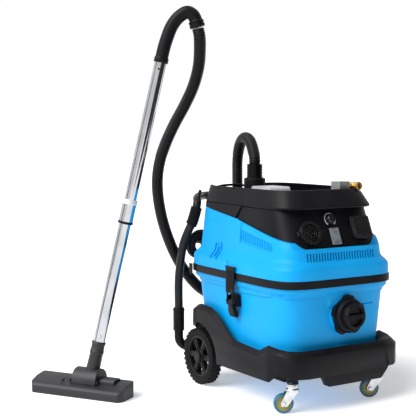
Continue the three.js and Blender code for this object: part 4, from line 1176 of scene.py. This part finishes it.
# ---------------------------------------------------------------- hose port on top
# A smooth moulded collar bolted through the tray, and the hose's own ribbed swivel cuff, which
# turns in it.
HOSE_PORT = (-54, 110, 0)
CUFF_RIBS = 8
collar = turned(
    [
        (21.4, 640), (21.4, 675), (33, 675), (35, 673), (35, 621), (37, 619), (43, 617), (44, 615.6),
        (44, 612.4), (0, 612.4), (0, 640), (21.4, 640),
    ],
    HOSE_PORT, (0, 0, 1), 72,
)
ear_places = [HOSE_PORT[0] + side * 38 for side in (-1, 1)]
ears = [brick(x - 6, x + 6, 104, 116, 613, 628) for x in ear_places]
finished(
    shaped("port_collar", collar, *ears), black_plastic, "black_plastic", "head", "hose_collar", edge=1.0,
)
cuff_profile = [(0, 641), (20.4, 641), (20.4, 675.4), (26.8, 675.4), (26.8, 679)]
for n in range(CUFF_RIBS):
    base = 680 + 5 * n
    cuff_profile += [(24.2, base), (24.2, base + 1.6), (26.6, base + 2.2), (26.6, base + 4.2)]
cuff_profile += [(24.4, 720), (19.6, 721), (0, 721)]
finished(
    shaped("swivel_cuff", turned(cuff_profile, HOSE_PORT, (0, 0, 1), 72)), hose_black, "black_plastic",
    "hose_cuff_body", "hose_cuff", angle=30,
)

# ---------------------------------------------------------------- inside the head and tank
# The vacuum motor and its impeller over a pleated cartridge filter; below them a float in its cage
# rises with the water and shuts off the suction.
PLEATS, MOTOR_RIBS, FAN_BLADES, CAGE_BARS = 72, 16, 9, 10
BLADE_SWEEP = 28
motor_alloy = metal("motor_alloy", 120, (0.45, 0.46, 0.47), (0.6, 0.61, 0.62), 0.3, 0.5)
filter_paper, nodes, links, shader = new_material("filter_paper")
colour, noise = speckle(nodes, links, 40, (0.66, 0.64, 0.58), (0.78, 0.76, 0.70), 5)
links.new(colour, shader.inputs["Base Color"])
relief(nodes, links, shader, noise.outputs["Fac"], 0.0006, 0.5)
shader.inputs["Roughness"].default_value = 0.85


def round_about(part, count):
    """Copies of a part, evenly round the machine's middle."""
    return [set_down(part, Matrix.Rotation(2 * math.pi * n / count, 4, "Z")) for n in range(count)]


def upright(profile, sides=48):
    """A piece turned about the machine's middle."""
    return turned(profile, (0, 0, 0), (0, 0, 1), sides)


pleats = round_about(plank([(61.6, -2.2), (64, -0.3), (64, 0.3), (61.6, 2.2)], "z", 268, 386), PLEATS)
pleats += [
    upright([(60, 262), (64, 262), (64, 268), (60, 268), (60, 262)]),
    upright([(34, 386), (64, 386), (64, 395.6), (34, 395.6), (34, 386)]),
    upright([(60, 268), (61.8, 268), (61.8, 386), (60, 386), (60, 268)]),
]
finished(shaped("pleated_filter", *pleats), filter_paper, "filter_cloth", "head", "filter_cartridge")
motor_profile = [
    (0, 420), (70, 420), (70, 425), (68, 427), (68, 496), (70, 498), (70, 500), (62, 506), (62, 548),
    (40, 560), (0, 560),
]
motor_parts = [upright(motor_profile, 64)] + round_about(brick(60, 63.6, -2.4, 2.4, 508, 544), MOTOR_RIBS)
finished(shaped("vacuum_motor", *motor_parts), motor_alloy, "motor_metal", "head", "motor", edge=0.8)
sweep = Matrix.Translation((14, 0, 0)) @ Matrix.Rotation(math.radians(BLADE_SWEEP), 4, "Z")
blade = set_down(plank([(0, 405.5), (38, 405.5), (38, 408.4), (0, 413)], "y", -0.5, 0.5), sweep)
fan_disc = upright([(0, 405), (58, 405), (58, 406.2), (10, 408), (8, 419.6), (0, 419.6)], 64)
fan = [fan_disc] + round_about(blade, FAN_BLADES)
finished(shaped("fan_wheel", *fan), motor_alloy, "motor_metal", "impeller_body", "impeller", edge=0.2)
finished(copied("motor_deck", "motor_plate"), black_plastic, "black_plastic", "head", "motor_plate", edge=0.8)
cage = [
    upright([(12, 196), (30, 196), (30, 200), (12, 200), (12, 196)]),
    upright([(12, 258), (64, 258), (64, 261.6), (12, 261.6), (12, 258)]),
]
cage += round_about(brick(26.5, 29.6, -2.2, 2.2, 199, 259), CAGE_BARS)
finished(shaped("float_basket", *cage), black_plastic, "black_plastic", "head", "float_cage", edge=0.5)
float_shape = [(0, 202), (9, 203), (15, 206), (19, 211), (20, 215), (19, 219), (15, 224), (9, 227), (0, 228)]
finished(
    shaped("float_ball_shell", upright(float_shape)), pale_plastic, "pale_plastic", "float_body",
    "float_ball", angle=60,
)

# ---------------------------------------------------------------- wand
# Two chromed steel tubes pushed together in a sleeve with a locking collar, a moulded bend on top
# that takes the hose, and a snap button that locks the lower tube in the floor head's neck.
WAND_FOOT = Vector((-579, 254.7, 46))
WAND_AXIS = Vector((0.192, -0.12, 1)).normalized()
WAND_FRONT = Vector((-0.53, -0.848, 0))
BUTTON_Z, HANDLE_FOOT_Z, SLEEVE_FOOT_Z = 187, 1036.4, 539.4
chrome = metal("chrome_tube", 18, (0.44, 0.45, 0.47), (0.54, 0.55, 0.57), 0.05, 0.12, detail=3)
clear_ring = moulded("clear_ring", (0.62, 0.64, 0.66), (0.74, 0.75, 0.77), 0.12, 0.25, 300, 0.00004, 0.6)


def up_wand(z):
    """The point of the wand's axis at a height."""
    return WAND_FOOT + WAND_AXIS * ((z - WAND_FOOT.z) / WAND_AXIS.z)


def wand_part(z, pairs, sides=64):
    """A piece turned about the wand's axis, from a height up."""
    return turned(pairs, up_wand(z), WAND_AXIS, sides)


def tube_wall(low, high, outer=19.0, inner=17.5):
    length = (high - low) / WAND_AXIS.z
    return wand_part(low, [(inner, 0), (outer, 0), (outer, length), (inner, length), (inner, 0)])


lower = shaped("lower_wand", tube_wall(169.4, 539))
carved(lower, turned([(0, 0), (4.7, 0), (4.7, 40), (0, 40)], up_wand(BUTTON_Z), WAND_FRONT, 24))
finished(lower, chrome, "chrome", "head", "lower_tube", edge=0.3)
upper = shaped("upper_wand", tube_wall(614.4, 1036))
carved(upper, turned([(0, 0), (3.4, 0), (3.4, 40), (0, 40)], up_wand(1016), WAND_FRONT, 24))
finished(upper, chrome, "chrome", "head", "upper_tube", edge=0.3)
sleeve = wand_part(SLEEVE_FOOT_Z, [(17.5, 0), (22.5, 0), (22.5, 74), (17.5, 74), (17.5, 0)])
finished(shaped("wand_sleeve", sleeve), chrome, "chrome", "head", "tube_sleeve", edge=0.5)
foot_ring = wand_part(SLEEVE_FOOT_Z, [(22.5, 0), (24, 0.4), (24, 7.4), (22.5, 8.4), (22.5, 0)])
finished(shaped("sleeve_foot_ring", foot_ring), rim_black, "black_plastic", "head", edge=0.4)
top_ring = wand_part(
    600,
    [
        (22.5, 0), (23.8, 0.6), (23.8, 5), (23, 6), (23.8, 7), (23.8, 12), (22.4, 14.4), (19.2, 15.6),
        (19.2, 14), (22.4, 12), (22.5, 0),
    ],
)
finished(shaped("sleeve_top_ring", top_ring), clear_ring, "pale_plastic", "head", edge=0.3)
button = turned([(0, 12), (4, 12), (4, 20.4), (2.8, 21.8), (0, 22.3)], up_wand(BUTTON_Z), WAND_FRONT, 32)
finished(
    shaped("lock_button", button), clear_ring, "pale_plastic", "snap_button_body", "snap_button", edge=0.2,
)
bend = [up_wand(HANDLE_FOOT_Z), up_wand(1075)] + [
    Vector(p)
    for p in (
        (-373, 126, 1108), (-358, 117, 1150), (-338, 105, 1178), (-318, 92.5, 1190), (-303, 83, 1180),
        (-296, 78.6, 1163), (-292, 76, 1144),
    )
]
hand_parts = [
    tube(smooth_line(bend, 3), 20, 40),
    wand_part(HANDLE_FOOT_Z, [(0, 0), (21.4, 0), (22.2, 1), (22.2, 15), (21, 17), (0, 17)]),
    turned(
        [
            (0, 0), (20.4, 0), (21.6, 3), (24, 4.4), (24, 8), (22.6, 9), (22.6, 13), (24, 14), (24, 21),
            (22.4, 22.8), (0, 22.8),
        ],
        (-297, 79.2, 1166), (5, -3.2, -22), 48,
    ),
]
finished(
    shaped("wand_bend", *hand_parts), black_plastic, "black_plastic", "head", "wand_handle", edge=0.6,
    angle=50,
)

# ---------------------------------------------------------------- floor head
# A wide floor nozzle: a moulded cover with chamfered ends on a sole plate, a rocker hood in which
# the neck swings and turns, and a ribbed foot pedal for the brush strip.
HEAD_ALONG = Vector((0.557, -0.8305, 0))
HEAD_BACK = Vector((0.8305, 0.557, 0))
HEAD_PLACE = (-601, 269, 0)
head_turn = Matrix((HEAD_ALONG, HEAD_BACK, Vector((0, 0, 1)))).transposed().to_4x4()
head_frame = Matrix.Translation(HEAD_PLACE) @ head_turn
charcoal = moulded("charcoal", (0.016, 0.016, 0.019), (0.024, 0.024, 0.028), 0.42, 0.56, 600, 0.00007)
nozzle = copied("nozzle_cover", "floor_head")
finished(nozzle, charcoal, "black_plastic", "floor_head_body", "floor_head", edge=1.6, segments=3, angle=24)
trims = [
    brick(-150, 150, -53.3, -52.2, 9, 11), brick(-64, -60, -36, 34, 43.4, 46),
    brick(60, 64, -36, 34, 43.4, 46), brick(-32, -27, -30, 46, 42, 53), brick(67, 69.6, -30, 30, 42, 51.4),
]
finished(
    shaped("nozzle_ribs", *all_down(trims, head_frame)), charcoal, "black_plastic", "floor_head_body",
    edge=0.6,
)
brushes = brick(-138, 138, -12.4, -9, 1.2, 3.5), brick(-138, 138, -40.5, -37, 1.2, 3.5)
finished(
    shaped("nozzle_brushes", *all_down(brushes, head_frame)), tyre_rubber, "black_plastic",
    "floor_head_body", edge=0.3,
)
neck_parts = [
    set_down(
        turned([(0, 0), (36.6, 0), (38, 1.4), (38, 86.6), (36.6, 88), (0, 88)], (-24, 8, 46), (1, 0, 0), 72),
        head_frame,
    ),
    turned(
        [
            (0, 0), (22.5, 0), (22.4, 18), (20.6, 84), (22, 86), (22, 96), (20.6, 98), (20.6, 116),
            (22, 117.4), (22, 123), (20.4, 125.4), (0, 125.4),
        ],
        WAND_FOOT, WAND_AXIS, 56,
    ),
]
finished(
    shaped("swivel_neck", *neck_parts), charcoal, "black_plastic", "neck_body", "neck", edge=0.8, angle=40,
)
pedal_parts = [plank([(-14, 37), (28, 37), (28, 55), (26, 56), (-8, 56), (-14, 50)], "x", 69.3, 120.7)]
pedal_parts += [brick(73, 117, -6 + 7 * n, -3.4 + 7 * n, 55.4, 57) for n in range(5)]
finished(
    shaped("foot_pedal", *all_down(pedal_parts, head_frame)), charcoal, "black_plastic", "pedal_body",
    "pedal", edge=0.7,
)

# ---------------------------------------------------------------- cable hook
# A moulded nylon hook, screwed to the back of the head. The wound mains lead hangs on its arm, and
# its turned-up lip keeps the turns from sliding off.
finished(copied("lead_hook", "cable_hook"), black_plastic, "black_plastic", "head", "cable_hook", edge=1.2)
